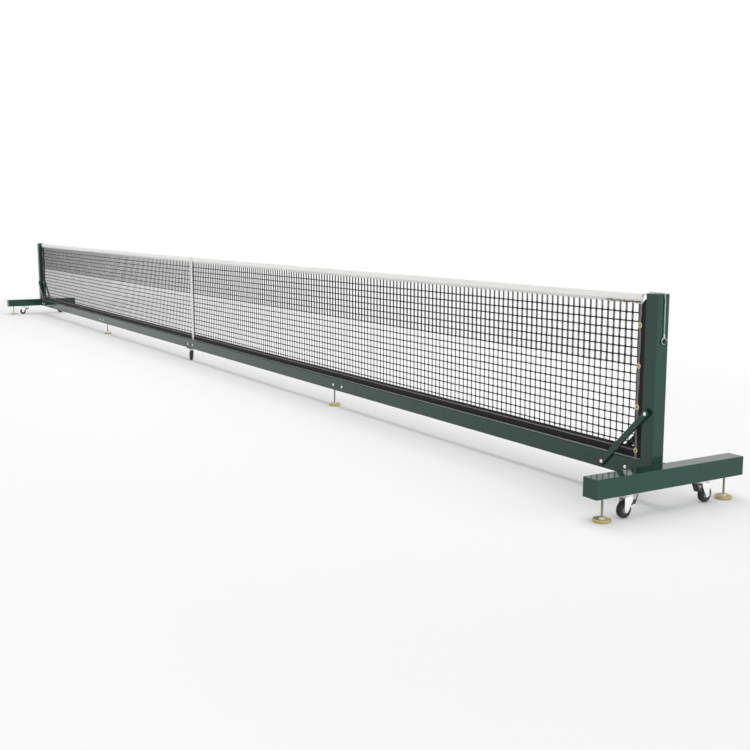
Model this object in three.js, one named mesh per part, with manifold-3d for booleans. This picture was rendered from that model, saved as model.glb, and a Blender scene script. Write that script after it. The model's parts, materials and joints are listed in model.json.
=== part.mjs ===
// A wheeled, free-standing net for racket courts: two T-shaped steel bases with square posts, joined
// by a bolted ground rail, with a white-banded net stretched between the posts.
// Millimetres. X runs along the net, -Y is the front, +Z is up, and the floor is z = 0.
import * as THREE from "three";
import { mergeVertices } from "three/addons/utils/BufferGeometryUtils.js";
import Module from "manifold-3d";

const wasm = await Module();
wasm.setup();

// ---- Driving sizes -------------------------------------------------------------------------------

// General fits
const SEAT_GAP = 0.3; // between faces that bear on each other
const SLEEVE_GAP = 0.4; // round a tube that slides into another
const HOLE_CLEARANCE = 0.5; // added to a bolt's radius
const TUBE_WALL = 3.2;
const FULL_TURN = 2 * Math.PI;

// Posts and overall span
const INNER_SPAN = 12801.6; // between the posts' inner faces
const POST_WIDTH = 80;
const POST_LENGTH = 860;
const POST_CORNER = 2.5;
const CAP_THICKNESS = 3;
const SPIGOT_HEIGHT = 120;

// T-base beams
const BEAM_SIZE = 100;
const BEAM_LENGTH = 1016;
const BEAM_CORNER = 3;
const END_PLATE = 4;
const POST_TO_BEAM = 13;

// Ground rail, in four sections with inner splice sleeves
const RAIL_WIDTH = POST_WIDTH; // so that a brace lies flat on both
const RAIL_HEIGHT = 90;
const RAIL_CORNER = 2.5;
const BOLTS_BELOW_MIDDLE = 6; // every bolt through the rail, below its middle
const SEAM_TO_POST = 33; // the rail's end, inboard of the post
const STUB_SLEEVE = 128; // how far the base's sleeve enters the rail
const STUB_BOLT = 74; // rail-end bolt, inboard of the seam
const SPLICE_X = 3165;
const SPLICE_LENGTH = 190;
const SPLICE_BOLT_PITCH = 136;
const SLEEVE_WALL = 4;

// Braces: flat-sided tubes at 45 degrees, front and rear
const BRACE_WIDTH = 32;
const BRACE_DEPTH = 16;
const BRACE_WALL = 2.5;
const BRACE_RISE = 303;
const BRACE_BOLT_INBOARD = 6; // upper bolt, inboard of the post's middle
const BRACE_END = 24; // beyond each bolt

// Round-headed bolts with nuts
const BOLT_RADIUS = 5;
const BOLT_HEAD_RADIUS = 10;
const BOLT_HEAD_HEIGHT = 5.5;
const NUT_RADIUS = 9.8;
const NUT_HEIGHT = 8;
const WASHER_RADIUS = 11;
const WASHER_THICKNESS = 2;
const BOLT_TAIL = 5;

// Swivel casters
const WHEEL_RADIUS = 41;
const WHEEL_WIDTH = 32;
const WHEEL_FLOOR_GAP = 1.5; // the feet carry the net; the wheels hang just clear
const CASTER_TRAIL = 30;
const CROWN_CLEARANCE = 21;
const CROWN_THICKNESS = 4;
const RACE_HEIGHT = 8;
const RACE_RADIUS = 26;
const KINGPIN_RADIUS = 6;
const PLATE_RACE_HEIGHT = 6.8;
const PLATE_THICKNESS = 3;
const PLATE_LENGTH = 90;
const PLATE_WIDTH = 70;
const FORK_PLATE = 3;
const FORK_SIDE_GAP = 3; // from tread side to fork leg
const AXLE_RADIUS = 5;
const BEAM_CASTER_Y = 257;
const CENTRE_CASTER_X = -76;

// Brake pedals, pivoted in the fork's ears
const PEDAL_PIVOT_SETBACK = 3; // behind the tread's foremost point
const PEDAL_PIVOT_ABOVE_TREAD = 8.5;
const PEDAL_PIN_RADIUS = 3;
const EAR_RADIUS = 8;

// Levelling feet
const FOOT_ROD_RADIUS = 6;
const FOOT_ROD_TOP = 180;
const FOOT_PAD_RADIUS = 45;
const FOOT_PAD_HEIGHT = 17;
const BEAM_FOOT_Y = 426;
const RAIL_FOOT_X = 3044;

// Net
const HEADBAND_TOP_BELOW_POST = 4;
const HEADBAND_HEIGHT = 54;
const HEADBAND_DIP = 12; // at the centre strap
const HEADBAND_END_GAP = 62.8; // to the post's inner face
const HEADBAND_HALF = 5.2; // half its thickness round the cord
const HEM_HALF = 1.8; // half its thickness at the lower hem
const CORD_RADIUS = 3;
const CORD_SIDES = 8;
const CORD_DROP = 8.5; // cord centre below the headband's top
const TAPE_HEIGHT = 58;
const TAPE_THICKNESS = 4;
const SIDE_TAPE_INNER = 89.8; // inner edge to the post's inner face
const NET_THICKNESS = 1.5;
const LACING_ROD_RADIUS = 6;
const LACING_ROD_TO_POST = 16.8;
const LACING_TAB = 6;
const STRAP_WIDTH = 50;
const STRAP_PLY = 2;
const STRAP_HALF_GAP = 6.5;

// ---- Sizes that follow from them -----------------------------------------------------------------

const HALF_SPAN = INNER_SPAN / 2;
const AXLE_Z = WHEEL_RADIUS + WHEEL_FLOOR_GAP;
const CROWN_BOTTOM = AXLE_Z + WHEEL_RADIUS + CROWN_CLEARANCE;
const RACE_BOTTOM = CROWN_BOTTOM + CROWN_THICKNESS;
const RACE_TOP = RACE_BOTTOM + RACE_HEIGHT;
const PLATE_RACE_BOTTOM = RACE_TOP + SEAT_GAP;
const PLATE_BOTTOM = PLATE_RACE_BOTTOM + PLATE_RACE_HEIGHT;
const BEAM_BOTTOM = PLATE_BOTTOM + PLATE_THICKNESS;
const BEAM_TOP = BEAM_BOTTOM + BEAM_SIZE;
const POST_X = HALF_SPAN + POST_WIDTH / 2;
const BEAM_INNER_X = HALF_SPAN + POST_WIDTH + POST_TO_BEAM;
const BEAM_X = BEAM_INNER_X + BEAM_SIZE / 2;
const RAIL_BOTTOM = BEAM_TOP - RAIL_HEIGHT;
const RAIL_MID = BEAM_TOP - RAIL_HEIGHT / 2;
const BOLT_LINE = RAIL_MID - BOLTS_BELOW_MIDDLE;
const SEAM_X = HALF_SPAN - SEAM_TO_POST;
const POST_BOTTOM = BEAM_TOP + SEAT_GAP;
const POST_TOP = BEAM_TOP + POST_LENGTH;
const BRACE_TOP_X = POST_X - BRACE_BOLT_INBOARD;
const BRACE_TOP_Z = BOLT_LINE + BRACE_RISE;
const BRACE_LOW_X = BRACE_TOP_X - BRACE_RISE;
const FRAME_FACE_Y = POST_WIDTH / 2;
const FORK_INNER = WHEEL_WIDTH / 2 + FORK_SIDE_GAP;
const PEDAL_PIVOT_Y = WHEEL_RADIUS - CASTER_TRAIL - PEDAL_PIVOT_SETBACK;
const PEDAL_PIVOT_Z = AXLE_Z + WHEEL_RADIUS + PEDAL_PIVOT_ABOVE_TREAD;
const HEADBAND_TOP = POST_TOP - HEADBAND_TOP_BELOW_POST;
const HEADBAND_BOTTOM = HEADBAND_TOP - HEADBAND_HEIGHT;
const HEADBAND_X = HALF_SPAN - HEADBAND_END_GAP;
const CORD_Z = HEADBAND_TOP - CORD_DROP;
const TAPE_BOTTOM = BEAM_TOP + SEAT_GAP;
const TAPE_TOP = TAPE_BOTTOM + TAPE_HEIGHT;
const SIDE_TAPE_X = HALF_SPAN - SIDE_TAPE_INNER;
const LACING_ROD_X = HALF_SPAN - LACING_ROD_TO_POST;
const SLEEVE_WIDTH = RAIL_WIDTH - 2 * (TUBE_WALL + SLEEVE_GAP);
const SLEEVE_HEIGHT = RAIL_HEIGHT - 2 * (TUBE_WALL + SLEEVE_GAP);

// ---- Finishes ------------------------------------------------------------------------------------

const finish = (color, roughness, metalness) =>
  new THREE.MeshStandardMaterial({ color, roughness, metalness });
const green = finish(0x2f4f47, 0.3, 0.1);
const zinc = finish(0xc9ccce, 0.25, 1);
const goldZinc = finish(0xc8b86a, 0.35, 1);
const rubber = finish(0x222222, 0.7, 0);
const blackPlastic = finish(0x181818, 0.5, 0);
const twine = finish(0x1b1b1b, 0.9, 0);
const whiteVinyl = finish(0xe9e9e6, 0.5, 0);
const whiteWeb = finish(0xe4e4e0, 0.8, 0);
const blackTape = finish(0x2a2526, 0.8, 0);
const greenCord = finish(0x2f6b3a, 0.8, 0);

// ---- Solid helpers -------------------------------------------------------------------------------

// A geometry's closed surface as a solid, turned right way out.
function solid(geometry) {
  const bare = geometry.index ? geometry.toNonIndexed() : geometry.clone();
  bare.deleteAttribute("normal");
  bare.deleteAttribute("uv");
  const merged = mergeVertices(bare, 1e-4);
  const index = merged.index.array;
  const kept = [];
  for (let i = 0; i < index.length; i += 3) {
    const [a, b, c] = [index[i], index[i + 1], index[i + 2]];
    if (a !== b && b !== c && c !== a) kept.push(a, b, c);
  }
  const make = (corners) =>
    new wasm.Manifold(
      new wasm.Mesh({
        numProp: 3,
        vertProperties: new Float32Array(merged.attributes.position.array),
        triVerts: new Uint32Array(corners),
      }),
    );
  const made = make(kept);
  if (made.volume() > 0) return made;
  return make(kept.map((_, i) => kept[i - (i % 3) + 2 - (i % 3)]));
}

function geometryOf(made) {
  const mesh = made.getMesh();
  const geometry = new THREE.BufferGeometry();
  geometry.setAttribute("position", new THREE.BufferAttribute(mesh.vertProperties, 3));
  geometry.setIndex(new THREE.BufferAttribute(mesh.triVerts, 1));
  geometry.computeVertexNormals();
  return geometry;
}

const join = (first, ...rest) => rest.reduce((sum, piece) => sum.add(piece), first);
const cut = (first, ...rest) => rest.reduce((sum, piece) => sum.subtract(piece), first);

// Turns a geometry made along +Z so that it runs along the named axis.
// Along x, the drawing's (x, y) become (y, z); along y, they become (z, x).
const TURNS = {
  x: new THREE.Matrix4().makeBasis(
    new THREE.Vector3(0, 1, 0),
    new THREE.Vector3(0, 0, 1),
    new THREE.Vector3(1, 0, 0),
  ),
  y: new THREE.Matrix4().makeBasis(
    new THREE.Vector3(0, 0, 1),
    new THREE.Vector3(1, 0, 0),
    new THREE.Vector3(0, 1, 0),
  ),
  z: new THREE.Matrix4(),
};

function extrude(shape, depth, axis, at, steps = 1, curveSegments = 2) {
  const options = { depth, steps, bevelEnabled: false, curveSegments };
  const geometry = new THREE.ExtrudeGeometry(shape, options).applyMatrix4(TURNS[axis]);
  return geometry.translate(...at);
}

function rod(radius, length, axis, at, sides = 12) {
  const geometry = new THREE.CylinderGeometry(radius, radius, length, sides);
  geometry.rotateX(Math.PI / 2).translate(0, 0, length / 2);
  return solid(geometry.applyMatrix4(TURNS[axis]).translate(...at));
}

function block(low, high) {
  const size = high.map((value, i) => value - low[i]);
  const centre = high.map((value, i) => (value + low[i]) / 2);
  return solid(new THREE.BoxGeometry(...size).translate(...centre));
}

// A revolved piece on the named axis, from (radius, height) points of its half section.
function turned(points, axis, at, sides) {
  const profile = points.map(([r, h]) => new THREE.Vector2(r, h));
  const geometry = new THREE.LatheGeometry(profile, sides);
  return solid(geometry.rotateX(Math.PI / 2).applyMatrix4(TURNS[axis]).translate(...at));
}

function roundedRect(path, width, height, corner) {
  const x = width / 2 - corner;
  const y = height / 2 - corner;
  path.moveTo(-x, -y - corner);
  path.lineTo(x, -y - corner);
  path.absarc(x, -y, corner, -Math.PI / 2, 0);
  path.lineTo(x + corner, y);
  path.absarc(x, y, corner, 0, Math.PI / 2);
  path.lineTo(-x, y + corner);
  path.absarc(-x, y, corner, Math.PI / 2, Math.PI);
  path.lineTo(-x - corner, -y);
  path.absarc(-x, -y, corner, Math.PI, 1.5 * Math.PI);
  return path;
}

// The section of a rectangular tube; its inner corners follow the wall.
function tubeShape(width, height, corner, wall) {
  const shape = roundedRect(new THREE.Shape(), width, height, corner);
  const inner = Math.max(corner - wall, 1);
  shape.holes.push(roundedRect(new THREE.Path(), width - 2 * wall, height - 2 * wall, inner));
  return shape;
}

const circlePoints = (radius, sides) =>
  Array.from({ length: sides }, (_, i) => {
    const angle = (i / sides) * FULL_TURN;
    return new THREE.Vector2(radius * Math.cos(angle), radius * Math.sin(angle));
  });

const plateShape = (width, height, corner) =>
  roundedRect(new THREE.Shape(), width, height, corner);

const node = (name, made, material) => {
  const mesh = new THREE.Mesh(geometryOf(made), material);
  mesh.name = name;
  return mesh;
};

// ---- T-base: beam, end plates, post stub, spigot, rail sleeve, foot nuts and caster plates -------

const sleeveHole = (x) =>
  rod(BOLT_RADIUS + HOLE_CLEARANCE, 2 * RAIL_WIDTH, "y", [x, -RAIL_WIDTH, BOLT_LINE]);

// The fixed half of a caster: mounting plate, upper ball race and the kingpin's bore.
function casterPlate(x, y, lengthX, lengthY, top) {
  const height = top - PLATE_BOTTOM;
  const plate = extrude(plateShape(lengthX, lengthY, 6), height, "z", [x, y, PLATE_BOTTOM]);
  const race = rod(RACE_RADIUS + 1, PLATE_RACE_HEIGHT + 1, "z", [x, y, PLATE_RACE_BOTTOM], 20);
  return join(solid(plate), race);
}

const kingpinBore = (x, y) => {
  const radius = KINGPIN_RADIUS + SLEEVE_GAP;
  const depth = PLATE_RACE_HEIGHT + PLATE_THICKNESS / 2;
  return rod(radius, depth + 1, "z", [x, y, PLATE_RACE_BOTTOM - 1]);
};

// A nut welded inside a tube's lower wall, and the hole through both for a foot's rod.
const FOOT_NUT_HEIGHT = 12;
const footNut = (x, y, wallBottom) =>
  rod(11, FOOT_NUT_HEIGHT + 1, "z", [x, y, wallBottom + TUBE_WALL - 1], 6);
const footHole = (x, y, wallBottom) =>
  rod(FOOT_ROD_RADIUS + SLEEVE_GAP, FOOT_NUT_HEIGHT + 3 * TUBE_WALL, "z", [x, y, wallBottom - 1]);

function tBase() {
  const beamZ = BEAM_BOTTOM + BEAM_SIZE / 2;
  const half = BEAM_LENGTH / 2;
  const beam = solid(
    extrude(
      tubeShape(BEAM_SIZE, BEAM_SIZE, BEAM_CORNER, TUBE_WALL),
      BEAM_LENGTH - 2 * END_PLATE,
      "y",
      [BEAM_X, END_PLATE - half, beamZ],
    ),
  );
  const ends = [-half, half - END_PLATE].map((y) =>
    solid(extrude(plateShape(BEAM_SIZE, BEAM_SIZE, BEAM_CORNER), END_PLATE, "y", [BEAM_X, y, beamZ])),
  );
  // The stub carries the post; a framed bulkhead inside it holds the sleeve that enters the rail.
  const stub = solid(
    extrude(
      tubeShape(RAIL_WIDTH, RAIL_HEIGHT, RAIL_CORNER, TUBE_WALL),
      BEAM_INNER_X + 1 - SEAM_X - SEAT_GAP / 2,
      "x",
      [SEAM_X + SEAT_GAP / 2, 0, RAIL_MID],
    ),
  );
  const bulkheadX = SEAM_X + 26;
  const bulkhead = solid(
    extrude(
      tubeShape(RAIL_WIDTH - TUBE_WALL, RAIL_HEIGHT - TUBE_WALL, RAIL_CORNER, TUBE_WALL + 8),
      5,
      "x",
      [bulkheadX, 0, RAIL_MID],
    ),
  );
  const sleeve = solid(
    extrude(
      tubeShape(SLEEVE_WIDTH, SLEEVE_HEIGHT, RAIL_CORNER, SLEEVE_WALL),
      STUB_SLEEVE + bulkheadX + 1 - SEAM_X,
      "x",
      [SEAM_X - STUB_SLEEVE, 0, RAIL_MID],
    ),
  );
  const spigotWidth = POST_WIDTH - 2 * (TUBE_WALL + SLEEVE_GAP);
  const spigot = solid(
    extrude(
      tubeShape(spigotWidth, spigotWidth, POST_CORNER, TUBE_WALL),
      SPIGOT_HEIGHT + 1,
      "z",
      [POST_X, 0, BEAM_TOP - 1],
    ),
  );
  const sides = [-1, 1];
  const plates = sides.map((s) =>
    casterPlate(BEAM_X, s * BEAM_CASTER_Y, PLATE_WIDTH, PLATE_LENGTH, BEAM_BOTTOM + 1),
  );
  const nuts = sides.map((s) => footNut(BEAM_X, s * BEAM_FOOT_Y, BEAM_BOTTOM));
  const bores = sides.flatMap((s) => [
    kingpinBore(BEAM_X, s * BEAM_CASTER_Y),
    footHole(BEAM_X, s * BEAM_FOOT_Y, BEAM_BOTTOM),
  ]);
  const whole = join(beam, ...ends, stub, bulkhead, sleeve, spigot, ...plates, ...nuts);
  return cut(whole, ...bores, sleeveHole(SEAM_X - STUB_BOLT));
}

// ---- Post with its welded cap and the peg that holds the head cord's eye --------------------------

const FERRULE_RADIUS = 5;
const EYE_RADIUS = 15;
const EYE_DROP = 235; // eye centre below the post's top
const EYE_Y = 6;
const PEG_RADIUS = 5.5;
const PEG_LENGTH = 19;
const POST_OUTER_X = HALF_SPAN + POST_WIDTH;
const CORD_OUTER_X = POST_OUTER_X + FERRULE_RADIUS + SEAT_GAP;
const EYE_Z = POST_TOP - EYE_DROP;
const PEG_Z = EYE_Z - (EYE_RADIUS - CORD_RADIUS - PEG_RADIUS - SEAT_GAP);

function post() {
  const wallTop = POST_TOP - CAP_THICKNESS;
  const tube = solid(
    extrude(
      tubeShape(POST_WIDTH, POST_WIDTH, POST_CORNER, TUBE_WALL),
      wallTop + 0.5 - POST_BOTTOM,
      "z",
      [POST_X, 0, POST_BOTTOM],
    ),
  );
  const cap = solid(
    extrude(plateShape(POST_WIDTH, POST_WIDTH, POST_CORNER), CAP_THICKNESS, "z", [POST_X, 0, wallTop]),
  );
  const peg = turned(
    [
      [0, -1],
      [9, -1],
      [9, 1],
      [PEG_RADIUS, 2.2],
      [PEG_RADIUS, PEG_LENGTH - 4],
      [8.5, PEG_LENGTH - 3],
      [8.5, PEG_LENGTH - 1],
      [7, PEG_LENGTH],
      [0, PEG_LENGTH],
    ],
    "x",
    [POST_OUTER_X, EYE_Y, PEG_Z],
    12,
  );
  const boltHole = rod(
    BOLT_RADIUS + HOLE_CLEARANCE,
    2 * POST_WIDTH,
    "y",
    [BRACE_TOP_X, -POST_WIDTH, BRACE_TOP_Z],
  );
  return cut(join(tube, cap, peg), boltHole);
}

// ---- Braces ---------------------------------------------------------------------------------------

// A square-cut tube from the rail's bolt to the post's bolt; side is -1 at the front, 1 at the rear.
function brace(side) {
  const between = BRACE_RISE * Math.SQRT2;
  const length = between + 2 * BRACE_END;
  const section = tubeShape(BRACE_DEPTH, BRACE_WIDTH, 2.5, BRACE_WALL);
  const tube = extrude(section, length, "x", [-BRACE_END, 0, 0]);
  tube.rotateY(-Math.PI / 4);
  const y = side * (FRAME_FACE_Y + SEAT_GAP + BRACE_DEPTH / 2);
  tube.translate(BRACE_LOW_X, y, BOLT_LINE);
  const hole = (x, z) =>
    rod(BOLT_RADIUS + HOLE_CLEARANCE, 3 * BRACE_DEPTH, "y", [x, y - 1.5 * BRACE_DEPTH, z]);
  return cut(solid(tube), hole(BRACE_LOW_X, BOLT_LINE), hole(BRACE_TOP_X, BRACE_TOP_Z));
}

// ---- Bolts ----------------------------------------------------------------------------------------

// A domed bolt from front to rear with its washer and nut run up; grip is half the clamped depth.
function bolt(x, z, grip) {
  const dome = [0, 1, 2, 3].map((i) => {
    const angle = (i / 3) * (Math.PI / 2);
    return [BOLT_HEAD_RADIUS * Math.sin(angle), -grip - SEAT_GAP - BOLT_HEAD_HEIGHT * Math.cos(angle)];
  });
  const seat = grip + SEAT_GAP;
  const body = turned(
    [
      ...dome,
      [BOLT_RADIUS, -seat],
      [BOLT_RADIUS, seat],
      [WASHER_RADIUS, seat],
      [WASHER_RADIUS, seat + WASHER_THICKNESS],
      [BOLT_RADIUS, seat + WASHER_THICKNESS],
      [BOLT_RADIUS, seat + WASHER_THICKNESS + NUT_HEIGHT + BOLT_TAIL - 1],
      [BOLT_RADIUS - 1, seat + WASHER_THICKNESS + NUT_HEIGHT + BOLT_TAIL],
      [0, seat + WASHER_THICKNESS + NUT_HEIGHT + BOLT_TAIL],
    ],
    "y",
    [x, 0, z],
    12,
  );
  const nut = rod(NUT_RADIUS, NUT_HEIGHT + 0.5, "y", [x, seat + WASHER_THICKNESS - 0.5, z], 6);
  return join(body, nut);
}

const railGrip = RAIL_WIDTH / 2;
const braceGrip = FRAME_FACE_Y + SEAT_GAP + BRACE_DEPTH;

// ---- Rail sections and splice sleeves -------------------------------------------------------------

const spliceBolts = (centre) => [-1, 1].map((s) => centre + (s * SPLICE_BOLT_PITCH) / 2);

function railSection(from, to) {
  const start = from + SEAT_GAP / 2;
  const length = to - from - SEAT_GAP;
  const tube = solid(
    extrude(tubeShape(RAIL_WIDTH, RAIL_HEIGHT, RAIL_CORNER, TUBE_WALL), length, "x", [start, 0, RAIL_MID]),
  );
  const inside = (x) => x > from && x < to;
  const boltXs = [-SPLICE_X, 0, SPLICE_X].flatMap(spliceBolts);
  for (const s of [-1, 1]) boltXs.push(s * (SEAM_X - STUB_BOLT), s * BRACE_LOW_X);
  const holes = boltXs.filter(inside).map(sleeveHole);
  const feet = [-RAIL_FOOT_X, RAIL_FOOT_X].filter(inside);
  const nuts = feet.map((x) => footNut(x, 0, RAIL_BOTTOM));
  const footHoles = feet.map((x) => footHole(x, 0, RAIL_BOTTOM));
  if (inside(CENTRE_CASTER_X)) {
    // A spacer brings the caster's plate level with those under the beams.
    nuts.push(casterPlate(CENTRE_CASTER_X, 0, PLATE_LENGTH, PLATE_WIDTH, RAIL_BOTTOM + 1));
    footHoles.push(kingpinBore(CENTRE_CASTER_X, 0));
  }
  return cut(join(tube, ...nuts), ...holes, ...footHoles);
}

function spliceSleeve(centre) {
  const sleeve = solid(
    extrude(
      tubeShape(SLEEVE_WIDTH, SLEEVE_HEIGHT, RAIL_CORNER, SLEEVE_WALL),
      SPLICE_LENGTH,
      "x",
      [centre - SPLICE_LENGTH / 2, 0, RAIL_MID],
    ),
  );
  return cut(sleeve, ...spliceBolts(centre).map(sleeveHole));
}

// ---- Casters, drawn about their kingpin with the wheel trailing towards -Y -------------------------

function fork() {
  const hub = 15;
  const back = -CASTER_TRAIL - hub;
  const front = PEDAL_PIVOT_Y + EAR_RADIUS;
  const legShape = new THREE.Shape();
  legShape.moveTo(back, RACE_BOTTOM - 0.5);
  legShape.lineTo(back, AXLE_Z);
  legShape.absarc(-CASTER_TRAIL, AXLE_Z, hub, Math.PI, FULL_TURN - 0.4);
  legShape.absarc(PEDAL_PIVOT_Y, PEDAL_PIVOT_Z, EAR_RADIUS, FULL_TURN - 0.4, FULL_TURN);
  legShape.lineTo(front, RACE_BOTTOM - 0.5);
  const legs = [-FORK_INNER - FORK_PLATE, FORK_INNER].map((x) =>
    solid(extrude(legShape, FORK_PLATE, "x", [x, 0, 0], 1, 4)),
  );
  const outer = FORK_INNER + FORK_PLATE;
  const crown = block([-outer, back, CROWN_BOTTOM], [outer, front, RACE_BOTTOM]);
  const race = rod(RACE_RADIUS, RACE_HEIGHT + 0.5, "z", [0, 0, RACE_BOTTOM - 0.5], 20);
  const kingpin = rod(KINGPIN_RADIUS, PLATE_RACE_HEIGHT + 1, "z", [0, 0, RACE_TOP - 0.5]);
  const axle = rod(AXLE_RADIUS, 2 * outer + 1, "x", [-outer - 0.5, -CASTER_TRAIL, AXLE_Z]);
  const heads = [-outer - 5, outer].map((x) =>
    rod(8.5, 5, "x", [x, -CASTER_TRAIL, AXLE_Z], 6),
  );
  const pinAt = [-outer - 1.5, PEDAL_PIVOT_Y, PEDAL_PIVOT_Z];
  const pin = rod(PEDAL_PIN_RADIUS, 2 * outer + 3, "x", pinAt, 8);
  return join(crown, ...legs, race, kingpin, axle, ...heads, pin);
}

// A hub and tyre in one: narrow hub faces, a dished side and a rounded tread.
function wheel() {
  const half = WHEEL_WIDTH / 2;
  const bore = AXLE_RADIUS + SLEEVE_GAP;
  const hubHalf = FORK_INNER - 1;
  const section = [
    [bore, -hubHalf],
    [13, -hubHalf],
    [14, -half + 4],
    [27, -half + 4],
    [29, -half],
    [WHEEL_RADIUS - 3, -half],
    [WHEEL_RADIUS, -half + 6],
  ];
  const mirrored = section.map(([r, h]) => [r, -h]).reverse();
  const at = [0, -CASTER_TRAIL, AXLE_Z];
  return turned([...section, ...mirrored, section[0]], "x", at, 24);
}

// A lever on the kingpin's side: its toe hangs beside the wheel as a brake shoe, its plate slants
// up and out to be trodden on. The profile is drawn about its pivot.
function pedal() {
  const profile = new THREE.Shape(
    [
      [2.4, -32],
      [9, -33],
      [11, -16],
      [24, -30],
      [29, -28],
      [53, 18],
      [47, 21],
      [28, -9],
      [8, 6],
      [2, 7.5],
      [-6, 4],
      [-6.5, -3],
      [-3, -12],
    ].map(([y, z]) => new THREE.Vector2(PEDAL_PIVOT_Y + y, PEDAL_PIVOT_Z + z)),
  );
  const width = 2 * (FORK_INNER - 1.5);
  const body = solid(extrude(profile, width, "x", [-width / 2, 0, 0]));
  const boreAt = [-width / 2 - 1, PEDAL_PIVOT_Y, PEDAL_PIVOT_Z];
  return cut(body, rod(PEDAL_PIN_RADIUS + SLEEVE_GAP, width + 2, "x", boreAt, 8));
}

// Where each caster stands, and how far it is swivelled from trailing straight forward.
const CASTERS = [
  { name: "right_front", x: BEAM_X, y: -BEAM_CASTER_Y, turn: 6 },
  { name: "right_rear", x: BEAM_X, y: BEAM_CASTER_Y, turn: 188 },
  { name: "left_front", x: -BEAM_X, y: -BEAM_CASTER_Y, turn: -10 },
  { name: "left_rear", x: -BEAM_X, y: BEAM_CASTER_Y, turn: 185 },
  { name: "centre", x: CENTRE_CASTER_X, y: 0, turn: -106 },
];

// ---- Levelling feet -------------------------------------------------------------------------------

// A dished pressed-steel pad with the screwed rod standing in its socket.
function foot() {
  const rim = FOOT_PAD_RADIUS;
  const high = FOOT_PAD_HEIGHT;
  const profile = [
    [0, 0],
    [rim - 3, 0],
    [rim, 5],
    [rim, high - 1],
    [rim - 2, high],
    [rim - 6, high - 4],
    [17, 8],
    [11, 10],
    [11, high + 4],
    [FOOT_ROD_RADIUS, high + 7],
    [FOOT_ROD_RADIUS, FOOT_ROD_TOP - 2],
    [FOOT_ROD_RADIUS - 1.5, FOOT_ROD_TOP],
    [0, FOOT_ROD_TOP],
  ];
  return turned(profile, "z", [0, 0, 0], 20);
}

const FEET = [
  { name: "right_front", x: BEAM_X, y: -BEAM_FOOT_Y },
  { name: "right_rear", x: BEAM_X, y: BEAM_FOOT_Y },
  { name: "left_front", x: -BEAM_X, y: -BEAM_FOOT_Y },
  { name: "left_rear", x: -BEAM_X, y: BEAM_FOOT_Y },
  { name: "right_middle", x: RAIL_FOOT_X, y: 0 },
  { name: "left_middle", x: -RAIL_FOOT_X, y: 0 },
];

// ---- Net: head cord, headband, mesh panel, tapes, lacing rods and centre strap ---------------------

// The head cord runs straight from each post down to the centre strap.
const dip = (x) => HEADBAND_DIP * (1 - Math.min(Math.abs(x) / HEADBAND_X, 1));

// Lowers a geometry by the dip, fully at and above `full` and not at all at and below `none`.
function hang(geometry, none, full) {
  const position = geometry.attributes.position;
  for (let i = 0; i < position.count; i++) {
    const share = (position.getZ(i) - none) / (full - none);
    const drop = dip(position.getX(i)) * Math.min(Math.max(share, 0), 1);
    position.setZ(i, position.getZ(i) - drop);
  }
  return geometry;
}

function headband() {
  const shape = new THREE.Shape();
  const low = HEADBAND_BOTTOM;
  const cordLine = CORD_Z;
  shape.moveTo(-HEM_HALF, low);
  shape.lineTo(HEM_HALF, low);
  shape.lineTo(HEM_HALF, low + 18);
  shape.lineTo(HEADBAND_HALF, cordLine - 8);
  shape.lineTo(HEADBAND_HALF, cordLine + 3);
  shape.lineTo(2.5, HEADBAND_TOP);
  shape.lineTo(-2.5, HEADBAND_TOP);
  shape.lineTo(-HEADBAND_HALF, cordLine + 3);
  shape.lineTo(-HEADBAND_HALF, cordLine - 8);
  shape.lineTo(-HEM_HALF, low + 18);
  const bore = circlePoints(CORD_RADIUS + SLEEVE_GAP, CORD_SIDES);
  shape.holes.push(new THREE.Path(bore.map((p) => p.setY(p.y + cordLine))));
  const band = extrude(shape, 2 * HEADBAND_X, "x", [-HEADBAND_X, 0, 0], 2);
  return solid(hang(band, 0, 1));
}

const cordShape = () => new THREE.Shape(circlePoints(CORD_RADIUS, CORD_SIDES));

function cordAlong(points, steps) {
  const path = new THREE.CatmullRomCurve3(points.map((p) => new THREE.Vector3(...p)));
  const options = { steps, bevelEnabled: false, extrudePath: path };
  return solid(new THREE.ExtrudeGeometry(cordShape(), options));
}

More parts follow.
